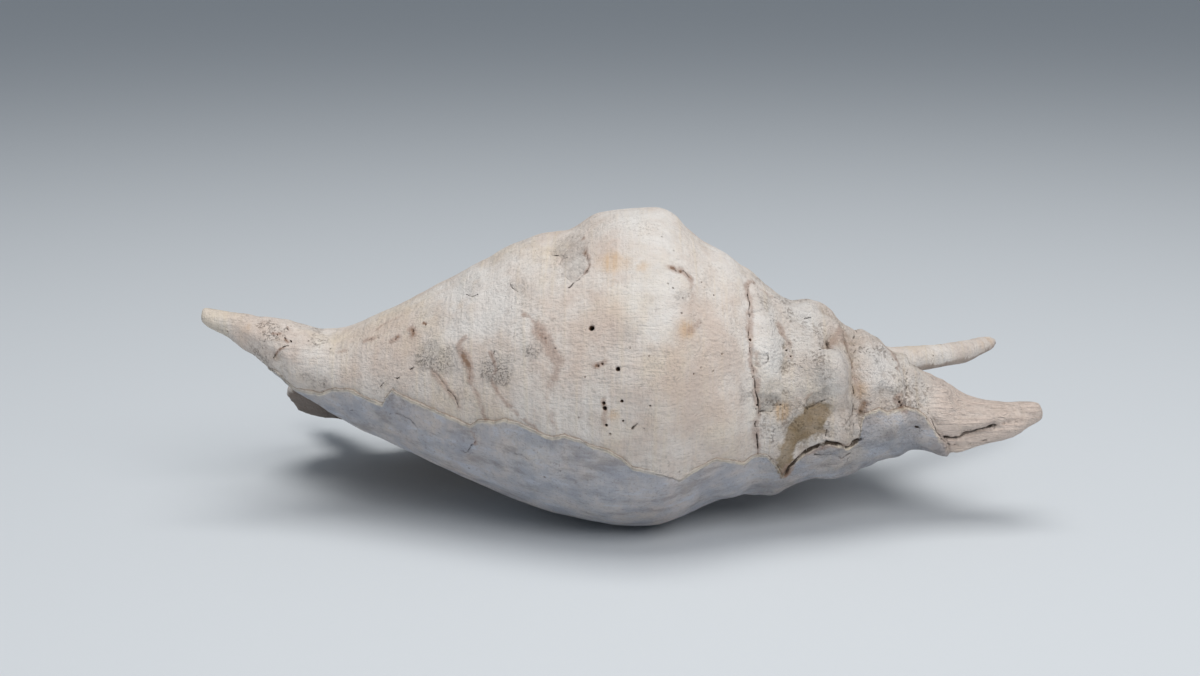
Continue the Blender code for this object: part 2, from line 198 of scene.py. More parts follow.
CAVITY_PATH = [
    # middle of the passage in shares of the body's radius (towards the lip, up), half-thickness as such a
    # share, then the middle of its length and half its length
    (0.90, -1.30, 0.24, -6.0, 47.0),
    (0.84, -0.80, 0.25, -6.0, 47.0),
    (0.77, -0.36, 0.245, -5.0, 43.0),
    (0.62, 0.12, 0.21, -2.0, 38.0),
    (0.42, 0.46, 0.21, 2.0, 31.0),
    (0.05, 0.60, 0.20, 6.0, 25.0),
    (-0.34, 0.46, 0.18, 10.0, 19.0),
    (-0.56, 0.10, 0.15, 14.0, 14.0),
    (-0.54, -0.20, 0.08, 16.0, 6.0),
]
CANAL_GROOVE = [(-40, 15.0, 21.0, 4.0), (-50, 10.0, 23.0, 6.0), (-60, 6.0, 26.5, 5.6), (-70, 4.0, 31.5, 4.6),
                (-80, 2.6, 39.0, 2.9), (-90, 1.8, 45.6, 1.7), (-97, 1.0, 48.4, 1.3)]
BODY_RADIUS = 38.0
GROOVE_ANGLE = 0.5
BODY_RINGS, BODY_SIDES = 320, 180
TUBE_RINGS, TUBE_SIDES = 90, 40
PASSAGE_RINGS, PASSAGE_SIDES = 80, 72
LIP_ROWS, LIP_COLUMNS = 220, 44
FUSE_CELL = 1.0
SOFTENING, SOFTENING_PASSES = 0.5, 4


def through(rows, at):
    """Smooth values at the places 'at' through rows of (place, value, ...), with no overshoot between the
    rows: a cubic between two rows whose slope at each is the harmonic mean of the slopes on either side."""
    rows = np.array(rows, dtype=float)
    place, values = rows[:, 0], rows[:, 1:]
    gap = np.diff(place)[:, None]
    rise = np.diff(values, axis=0) / gap
    slope = np.zeros_like(values)
    total = rise[:-1] + rise[1:]
    np.divide(2 * rise[:-1] * rise[1:], total, out=slope[1:-1], where=rise[:-1] * rise[1:] > 0)
    slope[0], slope[-1] = rise[0], rise[-1]
    at = np.clip(np.asarray(at, dtype=float), place[0], place[-1])
    left = np.clip(np.searchsorted(place, at, side="right") - 1, 0, len(gap) - 1)
    width = gap[left]
    t = (at - place[left])[..., None] / width
    start, end = values[left], values[left + 1]
    lift = (2 * t**3 - 3 * t**2 + 1) * start + (3 * t**2 - 2 * t**3) * end
    bend = ((t**3 - 2 * t**2 + t) * slope[left] + (t**3 - t**2) * slope[left + 1]) * width
    return lift + bend


def numbered(points):
    """The points with their place along the line put before them, from 0 to 1 by distance."""
    points = np.array(points, dtype=float)
    run = np.concatenate([[0.0], np.cumsum(np.linalg.norm(np.diff(points[:, :3], axis=0), axis=1))])
    return np.column_stack([run / run[-1], points])


def section_radius(x, angle):
    """Radius of the plain body: the four radii of the section blended by squared cosines round the axis."""
    values = through(BODY_SECTIONS, x)
    pillar, top, lip, belly = (values[..., k] for k in range(1, 5))
    side, rise = np.cos(angle), np.sin(angle)
    return np.where(side > 0, pillar, lip) * side**2 + np.where(rise > 0, top, belly) * rise**2


def knobs(x, angle):
    """Height of the blunt knobs on the last turn, each a flat-topped bell in x and angle."""
    height = np.zeros(np.broadcast(x, angle).shape)
    for centre, degrees, high, half_long, half_wide in BODY_KNOBS:
        turned = (np.degrees(angle) - degrees + 180) % 360 - 180
        away = ((x - centre) / half_long) ** 2 + (turned / half_wide) ** 2
        height = height + high * np.exp(-(away**2))
    return height


def spire_turn(x, angle):
    """Turns of the coil at a place: the logarithm of the reach from the apex less the angle, whole at each
    suture. On the pillar side a suture lags behind the plain helix and bows, and the count starts again
    behind the lip."""
    round_angle = (angle + 2 * math.pi - LIP_ANGLE) % (2 * math.pi) - (2 * math.pi - LIP_ANGLE)
    reach = np.maximum(APEX_X - x + SUTURE_BOW * (1 - np.cos(round_angle)), 0.5)
    helix = (round_angle - SUTURE_LAG * np.sin(round_angle)) / (2 * math.pi)
    return np.log(reach / LAST_SUTURE_REACH) / math.log(TURN_GROWTH) - helix


def spire_relief(x, angle):
    """Steps and knobs of the spire: each turn falls to a sharp suture and carries a row of knobs by its
    shoulder."""
    turn = spire_turn(x, angle)
    share = turn % 1.0
    on_spire = np.clip((LAST_TURN_FADE - turn) / LAST_TURN_FADE, 0, 1)
    on_spire = on_spire * np.clip((turn - OLDEST_TURN) / FIRST_TURN_FADE, 0, 1)
    scale = np.clip(APEX_X - x, 0.5, LAST_SUTURE_REACH)
    step = np.minimum(share / STEP_RUN, 1) ** 0.5 - STEP_FALL * share**3 - STEP_MIDDLE
    phase = KNOBS_PER_TURN * (np.degrees(angle) - FIRST_KNOB_DEGREES) / 360 * 2 * math.pi
    row = np.exp(-(((share - SHOULDER_PLACE) / SHOULDER_HALF) ** 2)) * (0.5 + 0.5 * np.cos(phase)) ** 1.5
    return on_spire * scale * (SUTURE_DEPTH * step + KNOB_HEIGHT * row)


def body_rings():
    """Rings of the body from the canal's tip to the spire's end: section radius, knobs and spire relief added
    up."""
    x = np.linspace(BODY_SECTIONS[0][0], BODY_SECTIONS[-1][0], BODY_RINGS)[:, None]
    angle = np.linspace(0, 2 * math.pi, BODY_SIDES, endpoint=False)[None, :]
    radius = section_radius(x, angle) + knobs(x, angle) + spire_relief(x, angle)
    height = through(BODY_SECTIONS, x)[..., 0]
    return np.stack([x + 0 * angle, -radius * np.cos(angle), height + radius * np.sin(angle)], axis=-1)


def tube_rings(points, groove=0.0, flattening=1.0):
    """Rings along centre points with a half-thickness each; a bell-shaped groove may dent the underside."""
    rows = through(numbered(points), np.linspace(0, 1, TUBE_RINGS))
    centre, half = rows[:, :3], rows[:, 3:4]
    ahead = np.gradient(centre, axis=0)
    ahead /= np.linalg.norm(ahead, axis=1, keepdims=True)
    side = np.cross(ahead, (0.0, 0.0, 1.0))
    side /= np.linalg.norm(side, axis=1, keepdims=True)
    over = np.cross(side, ahead)
    angle = np.linspace(0, 2 * math.pi, TUBE_SIDES, endpoint=False)[None, :]
    reach = half * (1 - groove * np.exp(-(((angle - 1.5 * math.pi) / GROOVE_ANGLE) ** 2)))
    across = (reach * np.cos(angle))[..., None] * side[:, None, :]
    upright = (reach * flattening * np.sin(angle))[..., None] * over[:, None, :]
    return centre[:, None, :] + across + upright


def cavity_rings():
    """Rings of the passage: each is an oval along x, laid on the body's section and scaled with its
    radius."""
    path = [(a * BODY_RADIUS, b * BODY_RADIUS, 0, a, b, c, d, e) for a, b, c, d, e in CAVITY_PATH]
    rows = through(numbered(path), np.linspace(0, 1, PASSAGE_RINGS))
    towards, up, thick, middle, half_long = (rows[:, k][:, None] for k in range(3, 8))
    ahead = np.gradient(np.concatenate([towards, up], axis=1), axis=0)
    ahead /= np.linalg.norm(ahead, axis=1, keepdims=True)
    angle = np.linspace(0, 2 * math.pi, PASSAGE_SIDES, endpoint=False)[None, :]
    x = middle + half_long * np.cos(angle)
    out = thick * np.sin(angle)
    scale = section_radius(x, np.full_like(x, math.pi))
    height = through(BODY_SECTIONS, x)[..., 0]
    y = (towards + out * ahead[:, 1:2]) * scale
    return np.stack([x, y, height + (up - out * ahead[:, 0:1]) * scale], axis=-1)


def new_object(name, points, faces):
    """Object with a mesh of these points, moved to the part's frame, and these faces, turned outwards."""
    mesh = bpy.data.meshes.new(name)
    mesh.from_pydata(((points - ORIGIN) * MM).tolist(), [], faces)
    work = bmesh.new()
    work.from_mesh(mesh)
    bmesh.ops.recalc_face_normals(work, faces=work.faces)
    work.to_mesh(mesh)
    work.free()
    made = bpy.data.objects.new(name, mesh)
    bpy.context.scene.collection.objects.link(made)
    return made


def grid_faces(count, around, closed):
    """Four-sided faces of a grid of count by around points, joined round if it is closed."""
    row = np.arange(count - 1)[:, None] * around
    column = np.arange(around if closed else around - 1)[None, :]
    following = (column + 1) % around
    corners = [row + column, row + following, row + around + following, row + around + column]
    return np.stack(corners, axis=-1).reshape(-1, 4).tolist()


def loft(name, rings):
    """Closed skin through rings of points, with a fan of triangles at each end."""
    count, around = rings.shape[:2]
    ends = [rings[0].mean(axis=0), rings[-1].mean(axis=0)]
    first, last, start = count * around, count * around + 1, (count - 1) * around
    fans = [(first, (j + 1) % around, j) for j in range(around)]
    fans += [(last, start + j, start + (j + 1) % around) for j in range(around)]
    points = np.concatenate([rings.reshape(-1, 3), ends])
    return new_object(name, points, grid_faces(count, around, True) + fans)


def lip_sheet():
    """Lip: at each place along it a quadratic curve runs from the root through the pull to the margin."""
    along = np.linspace(0, 1, LIP_ROWS)
    root, pull, margin = (through(rows, along)[:, None, :] for rows in (LIP_ROOT, LIP_PULL, LIP_MARGIN))
    v = np.linspace(0, 1, LIP_COLUMNS)[None, :, None]
    sheet = (1 - v) ** 2 * root + 2 * v * (1 - v) * pull + v**2 * margin
    made = new_object("lip", sheet.reshape(-1, 3), grid_faces(*sheet.shape[:2], False))
    wall = made.modifiers.new("wall", "SOLIDIFY")
    wall.thickness = LIP_THICKNESS * MM
    wall.offset = 0.0
    wall.use_even_offset = True
    return made


def finished(thing):
    """The mesh of an object with its modifiers applied."""
    bpy.context.view_layer.update()
    depsgraph = bpy.context.evaluated_depsgraph_get()
    return bpy.data.meshes.new_from_object(thing.evaluated_get(depsgraph))


def add_fuse(thing, name):
    """Voxel remesh, which joins what overlaps into one skin."""
    fuse = thing.modifiers.new(name, "REMESH")
    fuse.mode = "VOXEL"
    fuse.voxel_size = FUSE_CELL * MM


def fused_shell():
    """Mesh of the whole shell: all that grew fused together, then hollowed, softened and fused again."""
    grown = [loft("body", body_rings()), lip_sheet()]
    for name, points in FINGERS.items():
        grown.append(loft(name, tube_rings(points, FINGER_GROOVE, FINGER_FLATTENING)))
    hollows = [loft("aperture", cavity_rings()), loft("canal", tube_rings(CANAL_GROOVE))]
    work = bmesh.new()
    for piece in grown:
        work.from_mesh(finished(piece))
    together = bpy.data.meshes.new("together")
    work.to_mesh(together)
    work.free()
    thing = bpy.data.objects.new("together", together)
    bpy.context.scene.collection.objects.link(thing)
    add_fuse(thing, "fuse")
    for hollow in hollows:
        cut = thing.modifiers.new(hollow.name, "BOOLEAN")
        cut.operation = "DIFFERENCE"
        cut.solver = "EXACT"
        cut.object = hollow
    add_fuse(thing, "blend")
    soften = thing.modifiers.new("soften", "SMOOTH")
    soften.factor = SOFTENING
    soften.iterations = SOFTENING_PASSES
    mesh = finished(thing)
    for piece in [thing] + grown + hollows:
        bpy.data.objects.remove(piece, do_unlink=True)
    return mesh


shell_mesh = fused_shell()


# Traces on the surface: cracks, pits, ledges and stains of the pillar side, each given as
# pixels of the photograph and carried onto the shell by the sight lines of the camera.
def axis_points(mesh):
    """Points of a mesh in millimetres, measured from the shell's axis."""
    points = np.empty(len(mesh.vertices) * 3)
    mesh.vertices.foreach_get("co", points)
    return points.reshape(-1, 3) / MM + ORIGIN


def surface_tree(mesh):
    """Search tree of a mesh's faces, in millimetres from the axis."""
    corners = axis_points(mesh).tolist()
    return BVHTree.FromPolygons(corners, [tuple(face.vertices) for face in mesh.polygons])


plain_tree = surface_tree(shell_mesh)
TRACE_STEP = 1.2


def trace(pixels):
    """Points on the shell below a chain of pixels, one every TRACE_STEP pixels along it."""
    pixels = np.array(pixels, dtype=float)
    if len(pixels) > 1:
        steps = np.linalg.norm(np.diff(pixels, axis=0), axis=1)
        run = np.concatenate([[0.0], np.cumsum(steps)])
        at = np.linspace(0, run[-1], int(run[-1] / TRACE_STEP) + 2)
        pixels = np.stack([np.interp(at, run, pixels[:, 0]), np.interp(at, run, pixels[:, 1])], axis=1)
    found = [plain_tree.ray_cast(camera_place, sight_line(pixel))[0] for pixel in pixels]
    return np.array([tuple(hit) for hit in found if hit is not None]).reshape(-1, 3)


def pixels_of(points):
    """Pixels of the photograph that points in millimetres from the axis are seen at."""
    offset = points - camera_place
    depth = -(offset @ camera_back)
    across = PICTURE_WIDTH / 2 + pixels_per_slope * offset[:, 0] / depth
    down = PICTURE_HEIGHT / 2 - pixels_per_slope * (offset @ camera_up) / depth
    return np.stack([across, down], axis=1)


CALLUS_EDGE = [
    (264, 367), (270, 369), (277, 372), (286, 382), (297, 388), (306, 390), (320, 394), (333, 390),
    (348, 389), (357, 393), (370, 400), (378, 403), (383, 404), (386, 397), (392, 390), (403, 397),
    (417, 403), (434, 410), (452, 418), (470, 426), (478, 421), (493, 422), (506, 420), (522, 426),
    (539, 432), (553, 438), (565, 436), (579, 440), (594, 447), (609, 452), (622, 459), (633, 468),
    (650, 471), (661, 474), (680, 480), (688, 474), (703, 465), (716, 459), (729, 461), (743, 463),
    (751, 457), (758, 454), (766, 454), (776, 464), (782, 477), (790, 466), (799, 458), (807, 452),
    (820, 445), (827, 442), (839, 444), (847, 448), (858, 440), (862, 424), (866, 414), (879, 409),
    (887, 414), (904, 407), (915, 410), (924, 416), (932, 426), (939, 438),
]
LAST_SUTURE = [
    (753, 283), (749, 284), (747, 292), (750, 304), (750, 317), (748, 330), (749, 346), (750, 358),
    (752, 367), (753, 371), (756, 392), (758, 399), (758, 414), (756, 421), (756, 434), (758, 453),
]
CRACKS = [
    # pixels, half-width and depth in millimetres, darkness
    (LAST_SUTURE, 0.14, 0.6, 0.85),
    ([(784, 475), (790, 466), (799, 458), (807, 452), (820, 445), (827, 442), (839, 444), (847, 448),
      (860, 439)], 0.30, 1.1, 1.0),
    ([(814, 454), (832, 454), (842, 457), (852, 451), (860, 444)], 0.2, 0.7, 0.7),
    ([(671, 267), (678, 273), (683, 270), (686, 273), (690, 278)], 0.2, 0.6, 0.7),
    ([(675, 258), (680, 262), (687, 267)], 0.15, 0.25, 0.5),
    ([(656, 310), (661, 309)], 0.16, 0.25, 0.6),
    ([(656, 308), (659, 312)], 0.14, 0.2, 0.5),
    ([(821, 351), (827, 350), (831, 339)], 0.26, 0.6, 0.7),
    ([(829, 387), (829, 408), (826, 442)], 0.14, 0.3, 0.7),
    ([(751, 350), (756, 350), (766, 355), (766, 362), (759, 367), (752, 368)], 0.14, 0.3, 0.72),
    ([(914, 426), (919, 427)], 0.22, 0.5, 0.8),
    ([(633, 429), (636, 425)], 0.26, 0.8, 1.0),
    ([(583, 237), (587, 250), (586, 257), (589, 265), (585, 273), (579, 278), (569, 287)], 0.17, 0.3, 0.66),
    ([(551, 253), (559, 254), (566, 256)], 0.17, 0.3, 0.8),
    ([(559, 256), (559, 266), (562, 276), (571, 281)], 0.15, 0.2, 0.5),
    ([(467, 295), (473, 297), (478, 294)], 0.13, 0.25, 0.8),
    ([(466, 284), (468, 278), (473, 274)], 0.12, 0.12, 0.4),
    ([(511, 283), (513, 289), (516, 292)], 0.13, 0.25, 0.8),
    ([(525, 281), (527, 287)], 0.13, 0.2, 0.7),
    ([(511, 300), (519, 299), (526, 301)], 0.14, 0.2, 0.75),
    ([(753, 284), (758, 282)], 0.13, 0.3, 0.8),
    ([(750, 287), (755, 288)], 0.12, 0.25, 0.6),
    ([(749, 292), (754, 293)], 0.12, 0.25, 0.6),
    ([(749, 300), (753, 302)], 0.12, 0.25, 0.5),
    ([(753, 311), (758, 312), (763, 310), (770, 314)], 0.13, 0.25, 0.5),
    ([(805, 318), (810, 318)], 0.17, 0.35, 0.9),
    ([(895, 345), (899, 352)], 0.15, 0.3, 0.6),
    ([(380, 387), (390, 380), (398, 377), (406, 371), (414, 368)], 0.16, 0.2, 0.7),
    ([(272, 358), (278, 351), (284, 347), (289, 347)], 0.13, 0.35, 0.8),
    ([(285, 326), (288, 332)], 0.13, 0.3, 0.7),
    ([(284, 338), (291, 342)], 0.14, 0.35, 0.85),
    ([(370, 340), (378, 336)], 0.13, 0.2, 0.7),
    ([(434, 372), (441, 381), (447, 389), (455, 398), (459, 408)], 0.18, 0.2, 0.66),
    ([(494, 341), (494, 364), (493, 381), (503, 396)], 0.13, 0.15, 0.6),
    ([(397, 413), (409, 418), (418, 429), (430, 432), (444, 438), (456, 445), (466, 452),
      (473, 445)], 0.3, 0.3, 0.62),
    ([(487, 445), (500, 448), (512, 452), (527, 458), (545, 462), (560, 470)], 0.22, 0.2, 0.5),
    ([(351, 410), (363, 412), (376, 416), (392, 414)], 0.2, 0.15, 0.55),
    ([(471, 427), (474, 443)], 0.24, 0.25, 0.6),
    ([(420, 412), (432, 420), (450, 424)], 0.16, 0.1, 0.4),
    ([(560, 486), (590, 492), (622, 495), (640, 503)], 0.2, 0.12, 0.45),
    ([(500, 476), (530, 484), (552, 492), (580, 498)], 0.2, 0.12, 0.45),
    ([(760, 412), (772, 411), (781, 405)], 0.22, 0.5, 0.8),
    ([(804, 406), (809, 409), (818, 405), (826, 399)], 0.2, 0.5, 0.8),
    ([(946, 440), (960, 437), (981, 430), (1005, 422), (1015, 422)], 0.75, 1.1, 0.3),
    ([(946, 440), (960, 437), (981, 430), (1005, 422)], 0.24, 0.9, 1.15),
    ([(950, 446), (964, 446), (985, 440)], 0.3, 0.5, 0.6),
    ([(938, 424), (952, 421), (966, 415)], 0.2, 0.3, 0.45),
    ([(926, 390), (928, 384), (935, 381), (944, 388)], 0.22, 0.3, 0.3),
    ([(876, 341), (884, 352), (890, 362)], 0.3, 0.4, 0.4),
    ([(861, 413), (860, 425), (862, 434)], 0.25, 0.5, 0.5),
    ([(700, 480), (722, 474), (742, 472)], 0.25, 0.15, 0.2),
]
FOLDS = [
    # pixels, half-width and height in millimetres of the creases and low ridges, the creases below zero
    ([(753, 284), (765, 293), (772, 301), (782, 312), (793, 318), (806, 318)], 0.5, -0.5),
    ([(753, 312), (762, 311), (771, 317), (778, 326), (784, 336), (787, 346)], 0.45, -0.5),
    ([(787, 346), (786, 362), (783, 378), (784, 392)], 0.9, -0.8),
    ([(767, 320), (770, 335), (770, 350), (768, 362)], 2.6, 1.0),
    ([(768, 378), (778, 384)], 2.6, 1.2),
    ([(772, 298), (784, 308), (796, 312)], 1.6, 0.5),
    ([(808, 308), (816, 309)], 2.4, 0.9),
    ([(829, 364), (836, 374), (840, 390), (838, 402)], 2.9, 1.7),
    ([(846, 372), (848, 392)], 1.6, -0.5),
    ([(822, 408), (838, 412)], 1.6, -0.8),
    ([(833, 322), (838, 330)], 2.2, 1.2),
    ([(824, 309), (832, 315)], 2.6, -1.5),
    ([(824, 347), (832, 337), (836, 331)], 1.0, -1.1),
    ([(800, 330), (802, 350), (804, 372), (800, 385)], 2.6, 0.7),
    ([(846, 329), (850, 345), (856, 362), (861, 380), (863, 404), (862, 420)], 1.7, -1.0),
    ([(787, 400), (792, 420), (786, 440)], 1.5, -0.7),
    ([(812, 412), (808, 430), (800, 446)], 1.6, -0.9),
    ([(770, 424), (768, 440), (772, 452)], 2.6, 0.9),
    ([(842, 420), (848, 432)], 2.4, 0.9),
    ([(818, 432), (828, 434)], 1.4, -0.6),
    ([(868, 338), (880, 346)], 2.0, 0.6),
    ([(870, 362), (876, 372)], 2.0, 0.9),
    ([(868, 385), (872, 396)], 1.8, 0.7),
    ([(876, 385), (884, 382), (892, 386)], 1.1, 0.6),
    ([(884, 392), (886, 400)], 1.6, -0.6),
    ([(896, 350), (902, 362), (906, 376), (908, 392)], 1.0, -0.7),
    ([(905, 362), (911, 375)], 1.5, 0.5),
    ([(895, 420), (905, 424)], 2.0, 0.6),
    ([(840, 462), (856, 458)], 2.2, 0.7),
    ([(880, 432), (890, 430)], 2.6, 0.5),
    ([(960, 430), (980, 422), (1000, 413)], 1.6, 0.5),
    ([(955, 450), (985, 441), (1012, 430)], 1.3, 0.5),
    ([(960, 405), (990, 411), (1020, 412)], 1.3, -0.3),
    ([(930, 385), (940, 390), (945, 399)], 2.0, 0.6),
    ([(925, 405), (950, 415), (975, 418)], 0.7, -0.35),
    ([(930, 420), (950, 428), (970, 430)], 0.6, -0.35),
    ([(955, 398), (985, 405), (1015, 408)], 0.6, -0.25),
    ([(893, 347), (905, 357), (914, 372)], 2.0, 0.7),
    ([(864, 336), (872, 352), (872, 366)], 1.2, 0.4),
    ([(206, 318), (215, 324)], 1.6, 0.4),
    ([(225, 314), (238, 318)], 2.2, 0.45),
    ([(250, 330), (262, 338)], 2.4, 0.45),
    ([(270, 322), (290, 326)], 2.2, 0.35),
    ([(236, 332), (250, 342)], 1.4, -0.4),
    ([(262, 346), (275, 356)], 1.8, -0.35),
    ([(300, 340), (316, 350)], 2.6, 0.3),
]
PITS = [
    # radius and depth in millimetres, places in pixels
    (0.56, 1.6, [(591.5, 328)]),
    (0.46, 1.2, [(618, 369)]),
    (0.42, 0.6, [(605, 408)]),
    (0.36, 0.5, [(413, 331)]),
    (0.34, 0.5, [(598, 366), (602, 364)]),
    (0.34, 0.4, [(395.5, 339)]),
    (0.32, 0.9, [(604, 403)]),
    (0.3, 0.7, [(622, 401), (606.5, 425)]),
    (0.3, 0.5, [(610, 434), (896, 360), (896, 369), (849, 346)]),
    (0.28, 0.8, [(901, 405)]),
    (0.28, 0.6, [(750, 340)]),
    (0.26, 0.7, [(899, 402)]),
    (0.25, 0.5, [(753, 377), (757, 405)]),
    (0.25, 0.4, [(426, 325)]),
    (0.24, 0.45, [(868, 406)]),
    (0.22, 0.5, [(694, 374)]),
    (0.22, 0.4, [(701, 368), (722, 354), (800, 328), (756, 409)]),
    (0.2, 0.6, [(788, 349)]),
    (0.2, 0.4, [(585, 377), (649, 356), (862, 412)]),
    (0.2, 0.3, [(561, 252)]),
    (0.19, 0.6, [(650, 406), (623, 421), (714, 295), (702, 282)]),
    (0.19, 0.5, [(705, 287), (701, 323), (713, 371), (752, 300), (749, 312)]),
    (0.19, 0.4, [(630, 348)]),
    (0.18, 0.6, [(791, 356), (845, 341)]),
    (0.17, 0.35, [(283, 347), (288, 346), (277, 352), (286, 340), (291, 342), (277, 334), (227, 332),
                  (212, 332), (899, 397), (789, 348), (788, 355)]),
    (0.16, 0.4, [(786, 344), (857, 410), (871, 402), (850, 352)]),
    (0.16, 0.3, [(644, 429)]),
    (0.15, 0.4, [(787, 353), (789, 361)]),
    (0.15, 0.2, [(585, 330)]),
    (0.14, 0.4, [(792, 347)]),
]
PATCHES = [
    # border in pixels, depth of the floor in millimetres, greyness
    ([(551, 253), (556, 241), (562, 237), (572, 235), (581, 235), (586, 243), (587, 253), (589, 265),
      (589, 271), (579, 278), (571, 281), (562, 276), (559, 266), (559, 256)], 0.2, 0.36),
    ([(466, 280), (470, 275), (476, 274), (482, 278), (482, 288), (480, 296), (474, 298), (468, 294),
      (466, 287)], 0.12, 0.25),
    ([(512, 284), (517, 279), (524, 280), (527, 287), (526, 294), (519, 297), (513, 292)], 0.12, 0.25),
    ([(675, 289), (683, 287), (688, 293), (686, 300), (678, 301), (674, 296)], 0.10, 0.3),
    ([(751, 350), (756, 350), (766, 355), (766, 362), (759, 367), (752, 368)], 0.35, 0.3),
    ([(759, 394), (769, 395), (779, 396), (782, 405), (774, 411), (760, 410)], 0.5, 0.6),
    ([(806, 399), (815, 391), (826, 386), (826, 399), (818, 405), (809, 409), (804, 406)], 0.45, 0.6),
    ([(411, 354), (420, 347), (436, 341), (452, 344), (462, 354), (459, 370), (440, 376),
      (420, 371)], 0.0, 0.55),
    ([(478, 366), (488, 358), (505, 357), (514, 366), (512, 379), (496, 384), (482, 378)], 0.0, 0.6),
    ([(520, 350), (528, 343), (538, 347), (539, 358), (530, 368), (521, 364)], 0.0, 0.55),
    ([(744, 390), (756, 388), (756, 402), (742, 402)], 0.0, 0.45),
    ([(838, 396), (852, 392), (850, 410), (836, 410)], 0.0, 0.5),
    ([(868, 352), (882, 350), (888, 366), (874, 370)], 0.0, 0.15),
    ([(300, 372), (322, 366), (330, 380), (308, 388)], 0.0, 0.35),
    ([(560, 340), (572, 336), (574, 352), (562, 356)], 0.0, 0.2),
]

crack_traces = [trace(row[0]) for row in CRACKS]
fold_traces = [trace(row[0]) for row in FOLDS]
callus_trace = trace(CALLUS_EDGE)
pit_places = [trace([place]) for wide, deep, places in PITS for place in places]
pit_sizes = [(wide, deep) for wide, deep, places in PITS for place in places]


# Fineness: the skin is thinned in the passage and under the lip, where nothing fine
# shows, and split finer along the traces, so that cracks and edges stay narrow.
# The passage is told by a share of the body's radius and by half its length, and the
# underside of the lip by normals that point down and by its place across and along.
THIN_WITHIN, PASSAGE_SHARE, PASSAGE_HALF = 0.86, 0.88, 58
UNDERSIDE = -0.2
UNDER_LIP_SIDE, UNDER_LIP_MIDDLE, UNDER_LIP_HALF = 10, 5, 55
THIN_SHARE = 0.77
DEEP_CRACK, DARK_CRACK = 0.4, 0.5
CELLS_ACROSS, CELL_SHIFT = 4096, 1024
SPLIT_STEPS = [
    # reach from a trace and longest edge left there, in millimetres
    (0.9, 0.85),
    (0.5, 0.46),
]
FINEST_STEP = (0.30, 0.28)


def close_to(points, places, reach):
    """Whether each point lies within about 'reach' of any of the places, by marking cubes of that size."""
    cell = np.floor(places / reach).astype(np.int64)
    around = np.array([(i, j, k) for i in (-1, 0, 1) for j in (-1, 0, 1) for k in (-1, 0, 1)])
    marked = (cell[:, None, :] + around[None]).reshape(-1, 3)
    weights = np.array((1, CELLS_ACROSS, CELLS_ACROSS**2))
    marked = np.unique((marked + CELL_SHIFT) @ weights)
    return np.isin((np.floor(points / reach).astype(np.int64) + CELL_SHIFT) @ weights, marked)


def skin_normals(mesh):
    """Unit normals of a mesh at its points."""
    normals = np.empty(len(mesh.vertices) * 3)
    mesh.vertices.foreach_get("normal", normals)
    return normals.reshape(-1, 3)


def round_axis(points):
    """Angle round the axis and distance from it of points."""
    above = points[:, 2] - through(BODY_SECTIONS, points[:, 0])[..., 0]
    return np.arctan2(above, -points[:, 1]), np.hypot(above, points[:, 1])


def thinned(mesh):
    """The mesh with fewer faces in the passage and below the lip, where nothing fine shows."""
    points = axis_points(mesh)
    angle, radius = round_axis(points)
    x, y = points[:, 0], points[:, 1]
    inside = (radius < THIN_WITHIN * section_radius(x, angle)) & (np.abs(x) < PASSAGE_HALF)
    below = (skin_normals(mesh)[:, 2] < UNDERSIDE) & (y > UNDER_LIP_SIDE)
    below &= np.abs(x - UNDER_LIP_MIDDLE) < UNDER_LIP_HALF
    thing = bpy.data.objects.new("thinning", mesh)
    bpy.context.scene.collection.objects.link(thing)
    group = thing.vertex_groups.new(name="plain")
    group.add(np.nonzero(inside | below)[0].tolist(), 1.0, "REPLACE")
    thin = thing.modifiers.new("thin", "DECIMATE")
    thin.ratio = THIN_SHARE
    thin.vertex_group = "plain"
    result = finished(thing)
    bpy.data.objects.remove(thing)
    return result


def split_near(work, places, reach, longest):
    """Splits the edges near the places that are longer than 'longest', then makes all faces triangles."""
    points = np.array([vertex.co for vertex in work.verts]) / MM + ORIGIN
    ends = np.array([(edge.verts[0].index, edge.verts[1].index) for edge in work.edges])
    middle = (points[ends[:, 0]] + points[ends[:, 1]]) / 2
    length = np.linalg.norm(points[ends[:, 0]] - points[ends[:, 1]], axis=1)
    chosen = (length > longest) & close_to(middle, places, reach)
    edges = [edge for edge, wanted in zip(work.edges, chosen) if wanted]
    bmesh.ops.subdivide_edges(work, edges=edges, cuts=1)
    bmesh.ops.triangulate(work, faces=[face for face in work.faces if len(face.verts) > 3])
    work.verts.index_update()


shell_mesh = thinned(shell_mesh)
patch_traces = [trace(row[0] + row[0][:1]) for row in PATCHES if row[1] > 0]
open_cracks = []
for places, (pixels, wide, deep, dark) in zip(crack_traces, CRACKS):
    if deep >= DEEP_CRACK or dark >= DARK_CRACK:
        open_cracks.append(places)
finest_places = np.concatenate(open_cracks + [callus_trace] + pit_places)
fine_places = np.concatenate([finest_places] + patch_traces)
work = bmesh.new()
work.from_mesh(shell_mesh)
bmesh.ops.triangulate(work, faces=work.faces)
for reach, longest in SPLIT_STEPS:
    split_near(work, fine_places, reach, longest)
split_near(work, finest_places, *FINEST_STEP)
work.to_mesh(shell_mesh)
work.free()
shell_mesh.validate()


# Relief: what stands out from the plain form or is sunk in it. On the real shell that is growth
# (bands, cords and ridges, the callus laid over the pillar side) and wear (cracks, pits, scars and
# the etching of the sea). It is added up in millimetres and moves each point along its normal.
NOISE_CELLS = 48
NOISE_SHIFT = 500


